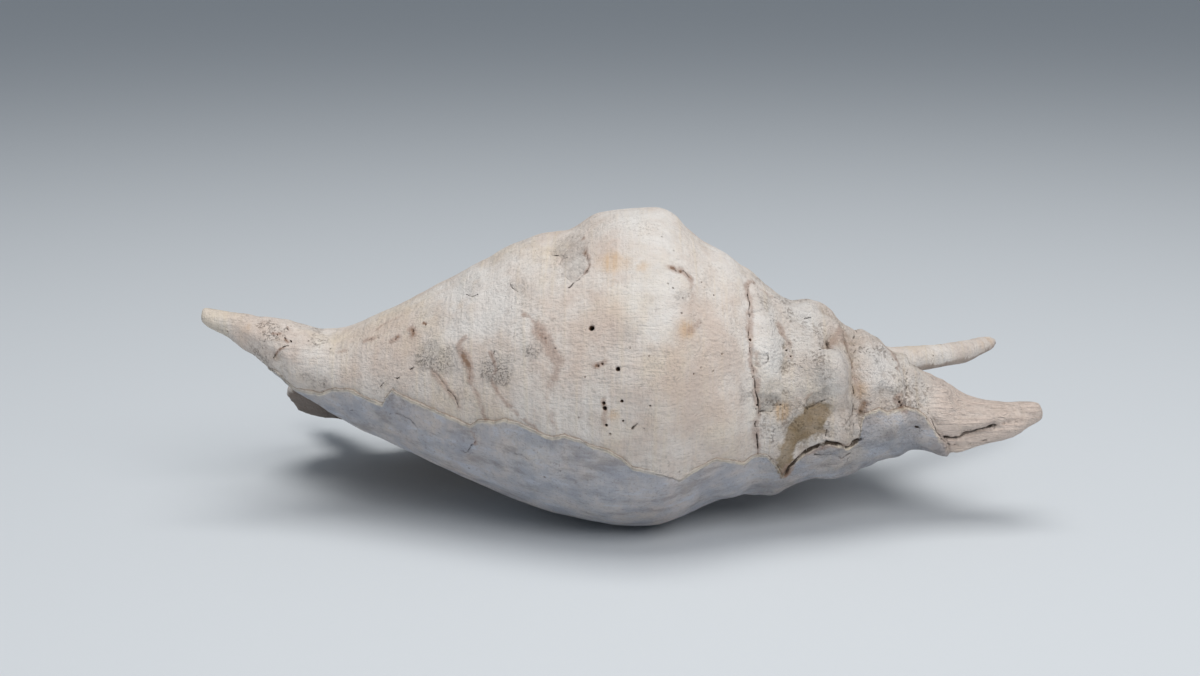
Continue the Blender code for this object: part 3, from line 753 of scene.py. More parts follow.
def soft_noise(points, size, seed):
    """Smooth noise from -1 to 1 with lumps of a size: random values on a lattice, blended by smoothstep
    weights."""
    lattice = np.random.default_rng(seed).uniform(-1, 1, (NOISE_CELLS, NOISE_CELLS, NOISE_CELLS))
    place = points / size + NOISE_SHIFT
    cell = np.floor(place).astype(int)
    t = place - cell
    t = t * t * (3 - 2 * t)
    value = 0
    for i in (0, 1):
        for j in (0, 1):
            for k in (0, 1):
                weight = np.where(i, t[:, 0], 1 - t[:, 0]) * np.where(j, t[:, 1], 1 - t[:, 1])
                weight = weight * np.where(k, t[:, 2], 1 - t[:, 2])
                corner = (cell + (i, j, k)) % NOISE_CELLS
                value = value + weight * lattice[corner[:, 0], corner[:, 1], corner[:, 2]]
    return value


def distance_to(points, places, reach):
    """Distance of each point to the nearest place, or the reach where it is further away than that."""
    result = np.full(len(points), float(reach))
    if len(places) == 0:
        return result
    near = np.nonzero(np.all((points > places.min(0) - reach) & (points < places.max(0) + reach), axis=1))[0]
    for part in np.array_split(near, max(1, len(near) * len(places) // 4_000_000)):
        away = np.linalg.norm(points[part][:, None, :] - places[None], axis=2).min(axis=1)
        result[part] = np.minimum(away, reach)
    return result


def bell(distance, width):
    """Bell curve of a distance: 1 at the middle, a third at the width."""
    return np.exp(-((distance / width) ** 2))


def smooth_step(low, high, value):
    """0 below the low value, 1 above the high one, an S-curve between."""
    t = np.clip((value - low) / (high - low), 0, 1)
    return t * t * (3 - 2 * t)


BORDER_REACH = 25
FAR_OUTSIDE = -30.0


def depth_inside(spots, border):
    """How far inside a border of pixels each spot lies: distance to the nearest side, below zero outside."""
    border = np.array(border, dtype=float)
    result = np.full(len(spots), FAR_OUTSIDE)
    low, high = border.min(0) - BORDER_REACH, border.max(0) + BORDER_REACH
    near = np.nonzero(np.all((spots > low) & (spots < high), axis=1))[0]
    some = spots[near][:, None, :]
    start, end = border[None], np.roll(border, -1, axis=0)[None]
    side = end - start
    share = np.clip(((some - start) * side).sum(2) / (side**2).sum(2), 0, 1)
    away = np.linalg.norm(some - start - share[..., None] * side, axis=2).min(axis=1)
    crosses = (start[..., 1] > some[..., 1]) != (end[..., 1] > some[..., 1])
    rise = np.where(side[..., 1] == 0, 1.0, side[..., 1])
    meets = start[..., 0] + (some[..., 1] - start[..., 1]) / rise * side[..., 0]
    within = (crosses & (some[..., 0] < meets)).sum(axis=1) % 2 == 1
    result[near] = np.where(within, away, -away)
    return result


# Parts of the skin, each a share from 0 to 1 at every point. The pairs are the
# values between which a part fades in or out: distances from the axis in plain
# radii for the body, and places along the axis in millimetres for the rest.
BODY_INNER, BODY_OUTER = (0.84, 0.92), (1.14, 1.3)
SPIRE_START, CANAL_END, SPINE_START, SPINE_ROOT = (33, 40), (-72, -50), (76, 82), (60, 66)
LIP_SIDE, OUTER_SIDE, HOOD_SIDE, BEHIND_SHELL = 12, 14, 10, 22
OFF_BODY = 1.05
WOBBLE, WOBBLE_SIZE = 0.35, 1.6
points = axis_points(shell_mesh)
normals = skin_normals(shell_mesh)
x, y = points[:, 0], points[:, 1]
angle, radius = round_axis(points)
plain_radius = section_radius(x, angle)
body_share = radius / plain_radius
on_body = smooth_step(*BODY_INNER, body_share) * (1 - smooth_step(*BODY_OUTER, body_share))
on_spire = on_body * smooth_step(*SPIRE_START, x)
on_canal = on_body * (1 - smooth_step(*CANAL_END, x))
on_spine = smooth_step(*SPINE_START, x) * (y < LIP_SIDE)
in_passage = (radius < PASSAGE_SHARE * plain_radius) & (np.abs(x) < PASSAGE_HALF)
lip_inside = (normals[:, 2] < UNDERSIDE) & (y > LIP_SIDE) & (radius > OFF_BODY * plain_radius)
inner_face = np.clip(in_passage + lip_inside * 1.0, 0, 1)
outer_side = (y > OUTER_SIDE) * (lip_inside == 0) * (in_passage == 0)
spots = pixels_of(points)
seen = ((normals * (camera_place - points)).sum(axis=1) > 0) * (y < BEHIND_SHELL)
facing = seen * (on_body > 0.5)
near_body = np.maximum(on_body, smooth_step(*SPINE_ROOT, x) * (y < HOOD_SIDE))
wobble = points + WOBBLE * np.stack([soft_noise(points, WOBBLE_SIZE, seed) for seed in (1, 2, 3)], axis=1)

# Hood: the end of the last turns, a thin ledge that the
# broad spine comes out from, given by its edge in pixels.
HOOD_EDGE = [
    (908, 366), (910, 377), (912, 390), (916, 402), (926, 413), (932, 424), (939, 437), (948, 452),
]
MM_PER_PIXEL = 0.24
HOOD_START, HOOD_END, HOOD_TOP, HOOD_FADE = 66, 92, (374, 388), (-0.15, 0.35)
HOOD_SLOPE, HOOD_GROOVE_PLACE, HOOD_LINE_PLACE = (-6.0, -0.6), 0.7, 0.35
HOOD_HEIGHT, HOOD_GROOVE = 0.75, 0.40
hood_across, hood_down = np.array(HOOD_EDGE, dtype=float).T
past_hood = (spots[:, 0] - np.interp(spots[:, 1], hood_down, hood_across)) * MM_PER_PIXEL
past_hood = past_hood + 0.35 * soft_noise(points, 1.5, 28)
before_hood = 1 - smooth_step(*HOOD_FADE, past_hood) * (x > HOOD_START)

# Callus: the glaze that the animal laid over the pillar side, ending in a step with a fine rim and a groove.
CALLUS_START, CALLUS_END = (-82.0, -79.0), (87.0, 91.0)
CALLUS_STEP, CALLUS_RIM, CALLUS_GROOVE = 0.24, 0.20, 0.16
CALLUS_HIGHEST, CALLUS_LOWEST = math.radians(60), math.radians(-150)
WORN_EDGE, WORN_HALF = 16.0, 4.0
STEP_FADE, RIM_PLACE, RIM_WIDTH, DIP_PLACE, DIP_WIDTH = (-0.12, 0.22), 0.2, 0.30, -0.45, 0.4
LEAST_RADIUS = 9.0
callus_x, callus_order = np.unique(np.round(callus_trace[:, 0], 2), return_index=True)
callus_angle = round_axis(callus_trace[callus_order])[0]
below_edge = (np.interp(x, callus_x, callus_angle) - angle) * np.maximum(plain_radius, LEAST_RADIUS)
below_edge = below_edge + 0.30 * soft_noise(points, 2.6, 34) + 0.18 * soft_noise(points, 0.9, 4)
callus_reach = smooth_step(*CALLUS_START, x) * (1 - smooth_step(*CALLUS_END, x))
callus_reach = callus_reach * (angle < CALLUS_HIGHEST) * (angle > CALLUS_LOWEST) * near_body * before_hood
callus_crisp = 1 - bell(x - WORN_EDGE, WORN_HALF)
callus = callus_reach * smooth_step(*STEP_FADE, below_edge)
rim_noise = 0.85 + 0.4 * soft_noise(points, 2.0, 21)
callus_rim = callus_reach * callus_crisp * bell(below_edge - RIM_PLACE, RIM_WIDTH) * rim_noise

# Unevenness of the worn skin, drawn out into bands round the axis or into lines along it.
EVEN, ROUND_AXIS, ALONG_AXIS = (1, 1, 1), (1.0, 0.06, 0.06), (0.10, 1, 1)
on_lip = (1 - on_body) * (radius > plain_radius) * (x < SPINE_START[0]) * (lip_inside == 0)
on_bands = on_body * (1 - callus) * (1 - 0.5 * on_spire)
rolls = 0.26 * soft_noise(points, 13, 5)
relief = rolls + 0.16 * soft_noise(points, 6, 6)
UNEVENNESS = [
    # where it lies, stretch of the lumps, their height and size in millimetres, seed
    (0.06 + 0.20 * on_spire + 0.16 * on_canal, EVEN, 1.0, 2.6, 7),
    (0.09 * on_spire + 0.08 * on_canal, EVEN, 1.0, 1.3, 35),
    (on_spire + on_canal, EVEN, 0.30, 7, 8),
    (on_spire + on_canal, EVEN, 0.20, 4, 9),
    (on_bands, ROUND_AXIS, 0.20, 5.0, 10),
    (on_bands, ROUND_AXIS, 0.09, 1.9, 11),
    (on_body, ALONG_AXIS, 0.07, 2.4, 12),
    (callus, (0.35, 1, 1), 0.16, 3.2, 13),
    (on_spine, ALONG_AXIS, 0.42, 1.7, 22),
    (on_spine, EVEN, 0.2, 4.5, 23),
    (on_lip, (1, 0.35, 1), 0.25, 4.0, 26),
    (on_lip, (0.25, 1, 1), 0.12, 1.8, 27),
]
for share, stretch, high, size, seed in UNEVENNESS:
    relief += share * high * soft_noise(points * stretch, size, seed)
relief += callus * CALLUS_STEP + callus_rim * CALLUS_RIM
relief -= callus_reach * callus_crisp * CALLUS_GROOVE * bell(below_edge - DIP_PLACE, DIP_WIDTH)

# Sutures: the sunk lines between the turns of the spire. The
# last one is traced on the side that the photo shows.
OLD_SUTURE_DEPTH, OLD_SUTURE_WIDTH = 0.55, 0.75
LAST_SUTURE_DEPTH, LAST_SUTURE_WIDTH = 0.7, 0.45
SUTURE_DARKNESS, DARK_WIDTH = 0.6, 0.4
TURNS_SHOWN = 3
turn = spire_turn(x, angle)
whole = np.round(turn)
reach_left = np.maximum(APEX_X - x, 2.0)
from_suture = (turn - whole) * math.log(TURN_GROWTH) * reach_left + 0.5 * soft_noise(points, 5.0, 24)
on_turns = (whole <= 0) * (whole >= -TURNS_SHOWN) * (turn < 0.4) * (x < SPINE_START[0])
on_suture = on_body * on_turns * (1 - callus)
relief -= on_suture * np.where(whole == 0, 0.0, OLD_SUTURE_DEPTH) * bell(from_suture, OLD_SUTURE_WIDTH)
far_depth = np.where(whole == 0, LAST_SUTURE_DEPTH, 0.0) * (facing == 0)
relief -= on_suture * far_depth * bell(from_suture, LAST_SUTURE_WIDTH)
far_darkness = np.where((whole == 0) & (facing > 0), 0.0, SUTURE_DARKNESS)
far_suture = on_suture * bell(from_suture, DARK_WIDTH) * far_darkness

# Lip: low cords that cross it, a ridge that runs out to each far finger, and growth lines by the margin.
CORD_HEIGHT, CORD_SPACING = 0.32, 6.4
WITHOUT_RIDGE = 2
RIDGE_HEIGHT, RIDGE_WIDTH = 1.1, 3.4
TROUGH_DEPTH, TROUGH_WIDTH, TROUGH_AWAY = 0.45, 3.0, 7.5
RIDGE_START, RIDGE_END, MARGIN_START = (16, 34), (52, 64), (30, 42)
cord_run = x - 0.12 * y + 1.6 * soft_noise(points, 14, 25)
cords = 0.5 + 0.5 * np.cos(2 * math.pi * cord_run / CORD_SPACING)
relief += on_lip * CORD_HEIGHT * cords**2
ridge_share = outer_side * smooth_step(*RIDGE_START, y) * (1 - smooth_step(*RIDGE_END, y))
for rows in list(FINGERS.values())[WITHOUT_RIDGE:]:
    rows = np.array(rows, dtype=float)
    line = np.vstack([rows[0, :2] * (1, 0.35), rows[:, :2]])
    along = np.linspace(0, len(line) - 1, 90)[::3]
    line = np.stack([np.interp(along, np.arange(len(line)), line[:, k]) for k in range(2)], axis=1)
    across = np.linalg.norm(points[:, None, :2] - line[None], axis=2).min(axis=1)
    trough = TROUGH_DEPTH * bell(across - TROUGH_AWAY, TROUGH_WIDTH)
    relief += ridge_share * (RIDGE_HEIGHT * bell(across, RIDGE_WIDTH) - trough)
margin_place = np.stack([np.hypot(x, 1.15 * y), angle, angle], axis=1)
relief += outer_side * smooth_step(*MARGIN_START, y) * 0.10 * soft_noise(margin_place, 1.6, 33)

# Creases, cracks and pits of the side that the photo shows, each with its raised and broken edges.
FOLD_REACH, FOLD_SIDE = 9.0, 20
CRACK_REACH, CRACK_LIP, LIP_AWAY, DARK_SPREAD = 3.0, 0.10, 2.4, 1.5
PIT_REACH, PIT_LIP, DEEP_PIT, SHALLOW_DARKNESS, PIT_SPREAD = 3.0, 0.07, 0.55, 0.62, 1.3
for places, (pixels, wide, high) in zip(fold_traces, FOLDS):
    relief += high * bell(distance_to(wobble, places, FOLD_REACH), wide) * (y < FOLD_SIDE)
crack = np.zeros(len(points))
ragged = 0.75 + 0.5 * soft_noise(points, 2.2, 14)
for places, (pixels, wide, deep, dark) in zip(crack_traces, CRACKS):
    away = distance_to(wobble, places, CRACK_REACH)
    relief += CRACK_LIP * deep * bell(away - LIP_AWAY * wide, wide) - deep * ragged * bell(away, wide)
    darkness = dark * bell(away, wide * DARK_SPREAD + 0.05) * np.clip(ragged + 0.1, 0.3, 1)
    crack = np.maximum(crack, darkness)
pit = np.zeros(len(points))
for place, (wide, deep) in zip(pit_places, pit_sizes):
    away = distance_to(points, place, PIT_REACH)
    relief += PIT_LIP * bell(away - 1.5 * wide, 0.3) - deep * np.exp(-((away / wide) ** 4))
    darkness = 1.0 if deep > DEEP_PIT else SHALLOW_DARKNESS
    pit = np.maximum(pit, darkness * bell(away, wide * PIT_SPREAD))

# Scars: flat places where a thin layer broke off, and where the depth is 0, only skin specked by small holes.
FLOOR_FADE, SPECK_FADE = (-0.5, 1.6), (-9.0, 8.0)
SCAR_LIP, SPECKS_PER_GREY, SPECKS_IN_SCAR = 0.10, 1.5, 0.22
ashen = np.zeros(len(points))
specked = np.zeros(len(points))
border_noise = 2.4 * soft_noise(points, 1.5, 15) + 1.6 * soft_noise(points, 0.7, 16)
for border, deep, dull in PATCHES:
    inside = depth_inside(spots, border) + border_noise
    floor_share = smooth_step(*FLOOR_FADE, inside) * facing
    relief -= floor_share * (deep + (0.10 + 0.2 * deep) * soft_noise(points, 0.9, 17))
    relief += SCAR_LIP * (deep > 0) * bell(inside + 1.8, 1.5) * facing
    if deep == 0:
        faded = smooth_step(*SPECK_FADE, inside + 6.0 * soft_noise(points, 2.6, 36))
        specked = np.maximum(specked, SPECKS_PER_GREY * dull * faded * facing)
    else:
        ashen = np.maximum(ashen, dull * floor_share)
        specked = np.maximum(specked, SPECKS_IN_SCAR * floor_share)
by_hood = smooth_step(*HOOD_TOP, spots[:, 1]) * (x > HOOD_START) * (x < HOOD_END) * seen * (y < HOOD_SIDE)
relief += by_hood * HOOD_HEIGHT * smooth_step(*HOOD_SLOPE, past_hood) * before_hood
relief -= by_hood * HOOD_GROOVE * bell(past_hood - HOOD_GROOVE_PLACE, 0.5)
hood_line = by_hood * bell(past_hood - HOOD_LINE_PLACE, 0.3)

PASSAGE_RELIEF = 0.25
REST_FADE = 2.0
relief *= np.where(in_passage, PASSAGE_RELIEF, 1.0)
rest_trim = smooth_step(0.0, REST_FADE, points[:, 2] - ORIGIN[2])
moved = points + normals * relief[:, None] * rest_trim[:, None]
moved[:, 2] = np.maximum(moved[:, 2], ORIGIN[2])
shell_mesh.vertices.foreach_set("co", ((moved - ORIGIN) * MM).ravel())
shell_mesh.update()


# Colour marks kept on the mesh, each from 0 to 1: what the sea and the
# ground stained (brown and rose streaks, orange spots, the olive stain by
# the callus), what the sun bleached, a painted highlight on the big spire knob, and painted shade in the
# hollows.
OLIVE_BAND = [
    # border in pixels
    (806, 409), (826, 405), (826, 417), (822, 430), (808, 438), (799, 443), (791, 458), (784, 475),
    (777, 468), (778, 453), (787, 439), (796, 423),
]
BROWN_STREAKS = [
    # pixels, half-width in millimetres, strength
    ([(523, 312), (530, 318), (537, 328)], 0.5, 0.6),
    ([(537, 328), (546, 338), (550, 348), (559, 363)], 1.4, 0.7),
    ([(559, 363), (558, 374), (551, 386)], 0.9, 0.6),
    ([(466, 337), (460, 344), (463, 354)], 0.6, 0.8),
    ([(463, 354), (467, 364), (470, 381)], 1.0, 0.85),
    ([(470, 381), (478, 396), (483, 412), (486, 419)], 0.6, 0.75),
    ([(463, 356), (465, 366)], 0.9, 1.0),
    ([(490, 351), (494, 364), (493, 381), (498, 395), (510, 406), (518, 416), (533, 424),
      (541, 432)], 0.5, 0.6),
    ([(434, 372), (441, 381), (447, 389), (455, 398), (459, 408)], 0.9, 0.5),
    ([(549, 386), (548, 400), (552, 418), (556, 430)], 0.9, 0.3),
    ([(671, 267), (683, 271), (690, 278)], 0.9, 1.2),
    ([(586, 249), (586, 256), (588, 262)], 0.3, 1.1),
    ([(583, 237), (587, 250), (589, 265), (585, 274)], 0.5, 0.8),
    ([(789, 343), (789, 358)], 1.0, 0.4),
    ([(780, 322), (786, 336)], 0.8, 0.6),
    ([(410, 329), (414, 332), (413, 334)], 0.7, 1.25),
    ([(393, 342), (396, 340), (398, 337)], 0.6, 1.7),
    ([(425, 325), (427, 325)], 0.4, 1.0),
    ([(596, 366), (600, 365), (603, 364)], 0.7, 0.9),
    ([(465, 362), (467, 368)], 0.38, 1.9),
    ([(459, 348), (463, 352), (464, 357)], 0.6, 0.9),
    ([(376, 330), (388, 322)], 0.5, 0.5),
    ([(843, 330), (844, 340)], 1.3, 0.75),
    ([(849, 340), (850, 350)], 0.8, 0.7),
    ([(756, 352), (759, 364)], 0.8, 0.5),
    (LAST_SUTURE, 0.9, 0.55),
    ([(471, 427), (474, 443)], 0.5, 0.5),
    ([(273, 333), (279, 334)], 0.3, 0.7),
    ([(285, 339), (291, 342)], 0.3, 1.0),
    ([(274, 356), (283, 348), (289, 347)], 0.3, 0.9),
    ([(286, 327), (288, 332)], 0.25, 0.9),
    ([(263, 331), (268, 329)], 0.3, 0.6),
    ([(260, 320), (266, 323)], 0.7, 0.5),
    ([(366, 341), (378, 337)], 0.7, 0.6),
    ([(392, 322), (402, 316)], 0.5, 0.4),
    ([(338, 353), (348, 350)], 0.6, 0.5),
    ([(788, 340), (791, 350), (789, 360)], 0.5, 0.5),
    ([(828, 347), (835, 338), (842, 328)], 1.2, 0.6),
    ([(866, 405), (862, 414)], 0.8, 0.9),
    ([(899, 398), (902, 407)], 1.0, 0.9),
    ([(800, 456), (830, 444), (850, 446)], 0.9, 0.5),
    ([(790, 466), (784, 474)], 1.2, 0.8),
    ([(858, 378), (862, 400)], 0.9, 0.45),
    ([(883, 388), (886, 400)], 0.8, 0.25),
    ([(604, 400), (606, 426)], 0.5, 0.55),
    ([(751, 320), (751, 346)], 0.7, 0.4),
    ([(752, 284), (762, 290), (770, 298)], 0.7, 0.4),
    ([(846, 329), (850, 345), (856, 366)], 0.9, 0.5),
    ([(884, 344), (893, 352), (899, 366)], 1.0, 0.55),
    ([(690, 282), (694, 292), (690, 310)], 0.9, 0.35),
    ([(698, 322), (688, 332)], 1.2, 0.4),
    ([(900, 400), (904, 410)], 0.8, 0.5),
    ([(812, 392), (806, 400)], 0.6, 0.5),
    ([(1020, 420), (1034, 416)], 1.0, 0.35),
    ([(895, 352), (898, 372)], 0.7, 0.5),
]
ORANGE_SPOTS = [
    # pixel across and down, radius in millimetres, strength
    (613, 415, 1.2, 0.9), (687, 330, 2.0, 1.3), (642, 267, 1.6, 0.8), (614, 262, 3.0, 1.3),
    (782, 412, 1.7, 1.7), (861, 391, 1.8, 1.3), (247, 329, 1.3, 0.7), (313, 362, 1.0, 0.6),
    (275, 358, 1.1, 0.5), (800, 405, 2.2, 0.5), (840, 410, 2.4, 0.4), (905, 395, 1.8, 0.4),
    (612, 282, 2.0, 0.4), (698, 340, 2.4, 0.35), (560, 262, 1.5, 0.3), (751, 338, 1.5, 0.6),
    (520, 250, 2.4, 0.3), (470, 310, 2.0, 0.3), (540, 300, 2.0, 0.25), (736, 300, 2.0, 0.3),
    (990, 340, 1.6, 0.8), (982, 343, 1.4, 0.5), (476, 282, 1.2, 0.5), (460, 306, 1.0, 0.6),
]
BLEACHED_AND_LIT_ZONES = [
    # borders in pixels; the fourth, round the big spire knob, is a painted highlight
    [(438, 292), (470, 272), (505, 268), (522, 300), (515, 332), (478, 338), (446, 340)],
    [(618, 208), (668, 208), (680, 260), (676, 345), (640, 350), (622, 300)],
    [(755, 316), (770, 314), (781, 330), (780, 362), (770, 378), (756, 372)],
    [(820, 352), (842, 352), (846, 380), (832, 396), (820, 384)],
    [(690, 215), (740, 262), (745, 280), (712, 268)],
    [(790, 306), (812, 303), (822, 316), (806, 326)],
    [(862, 350), (884, 344), (900, 366), (894, 390), (868, 392)],
]
WARM_ZONES = [
    # borders in pixels
    [(538, 300), (600, 285), (628, 300), (622, 345), (590, 360), (560, 400), (528, 372)],
    [(350, 330), (410, 310), (430, 335), (400, 372), (340, 385)],
    [(680, 300), (742, 300), (742, 420), (690, 440), (660, 380)],
    [(590, 240), (632, 232), (636, 280), (604, 292)],
    [(224, 312), (300, 330), (296, 362), (240, 350)],
]
DOT_REACH, DOT_SPREAD = 12.0, 1.25
STREAK_REACH, STREAK_SPREAD = 6.0, 1.2
ZONE_EDGE, ZONE_NOISE = (-9.0, 9.0), 3.0


def dots(rows):
    """Strongest of the round marks at each point, fading from the middle by a bell curve."""
    strength = np.zeros(len(points))
    for across, down, wide, strong in rows:
        away = distance_to(wobble, trace([(across, down)]), DOT_REACH)
        strength = np.maximum(strength, strong * bell(away, wide * DOT_SPREAD))
    return strength


def streaks(rows):
    """Strongest of the streaks at each point, with their course bent and their strength varied by noise."""
    drift = np.stack([soft_noise(points, 3.5, seed) for seed in (41, 42, 43)], axis=1)
    uneven = 1.05 + 0.45 * soft_noise(points, 2.4, 44) + 0.25 * soft_noise(points, 0.9, 45)
    strength = np.zeros(len(points))
    for pixels, wide, strong in rows:
        away = distance_to(wobble + 0.5 * drift, trace(pixels), STREAK_REACH)
        strength = np.maximum(strength, strong * uneven * bell(away, wide * STREAK_SPREAD))
    return strength


def zones(borders):
    """Strongest of the softly bordered zones of pixels at each point of the pillar side, from 0 to 1."""
    ragged_border = ZONE_NOISE * soft_noise(points, 5.0, 31) + border_noise
    strength = np.zeros(len(points))
    for border in borders:
        inside = depth_inside(spots, border) + ragged_border
        strength = np.maximum(strength, smooth_step(*ZONE_EDGE, inside) * facing)
    return strength


def keep_marks(name, *channels):
    """Puts four marks on the mesh as one colour attribute."""
    values = np.stack(channels, axis=1).astype(np.float32)
    shell_mesh.attributes.new(name, "FLOAT_COLOR", "POINT").data.foreach_set("color", values.ravel())


# Marks that follow the form: painted shade in the hollows, a painted shadow under the callus rim,
# the brown lobe darkened by painted shade, and on the sides that the photo doesn't show bands across the lip
# and flaws.
HOLLOW_SHADE_PER_MM = 0.8
HOOD_DARKNESS, FAR_FLAW_SHARE = 0.72, 0.6
LOBE_END, FAR_FLAWS_END = (-60, -48), 60
OLIVE_EDGE, OLIVE_NOISE = (-8.0, 4.5), 1.6
# Painted shade: darker where the relief sinks below the broad rolls, in the hollows of the body.
hollow_shade = np.clip((rolls - relief) * HOLLOW_SHADE_PER_MM, 0, 1) * on_body
# Painted shadow: a dark band just below the callus rim.
shadow_under_rim = callus_reach * callus_crisp * bell(below_edge + 0.28, 0.22)
dark_lines = np.maximum(np.maximum(crack, far_suture), HOOD_DARKNESS * hood_line)
olive = smooth_step(*OLIVE_EDGE, depth_inside(spots, OLIVE_BAND) + OLIVE_NOISE * border_noise) * facing
# Painted shade: the front lobe of the lip, seen from below, darkened as if in shade.
shaded_lobe = lip_inside * (1 - smooth_step(*LOBE_END, x))
band_noise = soft_noise(margin_place, 3.0, 53) + 0.5 * soft_noise(points, 5.0, 54)
lip_bands = on_lip * smooth_step(-0.1, 0.7, band_noise)
flaw_noise = soft_noise(points, 11, 61) + 0.3 * soft_noise(points, 3, 62)
far_flaws = (facing == 0) * (inner_face == 0) * (x < FAR_FLAWS_END) * smooth_step(0.25, 0.6, flaw_noise)
keep_marks("stains_and_rim", streaks(BROWN_STREAKS), dots(ORANGE_SPOTS), ashen, callus_rim)
keep_marks("hurts_and_shade", dark_lines, pit, callus, hollow_shade)
keep_marks("places", on_spire, inner_face, on_spine, olive)
keep_marks("tints", zones(BLEACHED_AND_LIT_ZONES), zones(WARM_ZONES), shadow_under_rim, shaded_lobe)
keep_marks("flaws", np.maximum(specked, FAR_FLAW_SHARE * far_flaws), on_canal, lip_bands, on_body)


# Surface: chalky lime with soft bands round the axis and fine growth lines
# along it, stains and scars on top. It is one material, mixed from noise
# and from the marks kept on the mesh, and it has a fine relief of its own.
bleached = bpy.data.materials.new("bleached shell")
bleached.use_nodes = True
tree = bleached.node_tree
surface = tree.nodes["Principled BSDF"]


def linked(kind, settings=None, **inputs):
    """Node of a kind, its inputs set to values or linked to sockets; i0, i6 and so on are inputs by
    number."""
    made = tree.nodes.new(kind)
    for key, value in (settings or {}).items():
        setattr(made, key, value)
    for key, value in inputs.items():
        by_number = key[0] == "i" and key[1:].isdigit()
        socket = made.inputs[int(key[1:]) if by_number else key.replace("_", " ")]
        if isinstance(value, bpy.types.NodeSocket):
            tree.links.new(value, socket)
        else:
            socket.default_value = value
    return made


where = linked("ShaderNodeTexCoord").outputs["Object"]


def noise(scale, detail=3.0, rough=0.55, stretch=(1, 1, 1), offset=0.0):
    """Noise from 0 to 1 with lumps of about 1 / scale metres, drawn out along an axis by a stretch under
    1."""
    shift = (offset, offset * 0.7, offset * 1.3)
    there = linked("ShaderNodeMapping", Vector=where, Scale=stretch, Location=shift).outputs[0]
    made = linked("ShaderNodeTexNoise", Vector=there, Scale=scale, Detail=detail, Roughness=rough)
    return made.outputs["Fac"]


def between(value, low, high, to_low=0.0, to_high=1.0):
    """Value stretched from low..high to a new range by an S-curve, and held there."""
    made = linked("ShaderNodeMapRange", {"interpolation_type": "SMOOTHSTEP"}, Value=value)
    for name, number in (("From Min", low), ("From Max", high), ("To Min", to_low), ("To Max", to_high)):
        made.inputs[name].default_value = number
    return made.outputs[0]


def combined(operation, first, second):
    """Arithmetic on two values."""
    return linked("ShaderNodeMath", {"operation": operation}, i0=first, i1=second).outputs[0]


def times(first, *others):
    """Product of two or more values."""
    for other in others:
        first = combined("MULTIPLY", first, other)
    return first


def total(*parts):
    """Sum of (value, weight) pairs."""
    result = times(*parts[0])
    for value, weight in parts[1:]:
        result = combined("ADD", result, times(value, weight))
    return result


def marks_of(name):
    """The four marks of a colour attribute."""
    kept = linked("ShaderNodeAttribute", {"attribute_name": name})
    parts = linked("ShaderNodeSeparateColor", Color=kept.outputs["Color"])
    return (*parts.outputs, kept.outputs["Alpha"])


brown_mark, orange_mark, ash_mark, rim_highlight_mark = marks_of("stains_and_rim")
crack_mark, pit_mark, callus_mark, hollow_shade_mark = marks_of("hurts_and_shade")
spire_mark, inner_mark, spine_mark, olive_mark = marks_of("places")
bleach_and_highlight_mark, warm_mark, shadow_under_rim_mark, shaded_lobe_mark = marks_of("tints")
specked_mark, canal_mark, lip_mark, body_mark = marks_of("flaws")

broad = noise(34, 4)
mottle = noise(150, 5, 0.62, offset=9.0)
fine_mottle = noise(640, 4, 0.68, offset=19.0)
grain = noise(1500, 4, 0.7, offset=7.0)
soft_bands = noise(170, 3, stretch=(1, 0.06, 0.06))
cord_lines = noise(900, 3, stretch=(1, 0.04, 0.04), offset=5.0)
growth_lines = noise(1700, 3, 0.6, stretch=(0.12, 1, 1), offset=3.0)
fibres = noise(1100, 4, 0.65, stretch=(0.07, 1, 1), offset=23.0)
smear = noise(200, 5, 0.7, stretch=(0.30, 1, 1), offset=29.0)
pocks = noise(1500, 3, 0.6, offset=37.0)
fine_pocks = noise(2600, 2, 0.6, offset=57.0)

FRAY_FINE, FRAY_GRAIN = 0.55, 0.45


def ragged_share(mark, low, high):
    """Share of a mark after its border has been frayed by the fine mottle and the grain."""
    frayed = total((mark, 1.0), (combined("SUBTRACT", fine_mottle, 0.5), FRAY_FINE),
                   (combined("SUBTRACT", grain, 0.5), FRAY_GRAIN))
    return times(between(frayed, low, high), between(mark, 0.02, 0.10))


# Small flaws: pocks and short worm-like veins, dense in the scars and on the spire, and thin elsewhere.
veins = combined("ABSOLUTE", combined("SUBTRACT", noise(1000, 4, 0.65, offset=41.0), 0.5), 0.0)
vein_share = times(between(veins, 0.005, 0.022, 1.0, 0.0), between(pocks, 0.46, 0.54))
dark_specks = combined("MAXIMUM", between(pocks, 0.55, 0.61), vein_share)
frayed_specks = total((specked_mark, 1.0), (combined("SUBTRACT", mottle, 0.5), 2.2))
speck_cover = times(between(frayed_specks, 0.2, 1.1), between(specked_mark, 0.02, 0.12))
short_veins = times(vein_share, between(fine_mottle, 0.48, 0.56))
fine_specks = times(speck_cover, combined("MAXIMUM", between(fine_pocks, 0.55, 0.62), short_veins))
flaw_zone = between(noise(120, 5, 0.7, offset=47.0), 0.51, 0.61)
spire_flaws = times(combined("MAXIMUM", spire_mark, times(canal_mark, 0.7)), flaw_zone)
spire_flaws = times(spire_flaws, combined("SUBTRACT", 1.0, callus_mark), dark_specks)
plain_flaws = times(body_mark, between(noise(70, 5, 0.7, offset=51.0), 0.52, 0.66), dark_specks)
dots_apart = linked("ShaderNodeTexVoronoi", Vector=where, Scale=300.0).outputs["Distance"]
dot_share = times(between(dots_apart, 0.03, 0.09, 1.0, 0.0), between(noise(65, 3, offset=17.0), 0.54, 0.64))
crack_share = times(ragged_share(crack_mark, 0.42, 0.72), combined("SUBTRACT", 1.0, times(spine_mark, 0.35)))

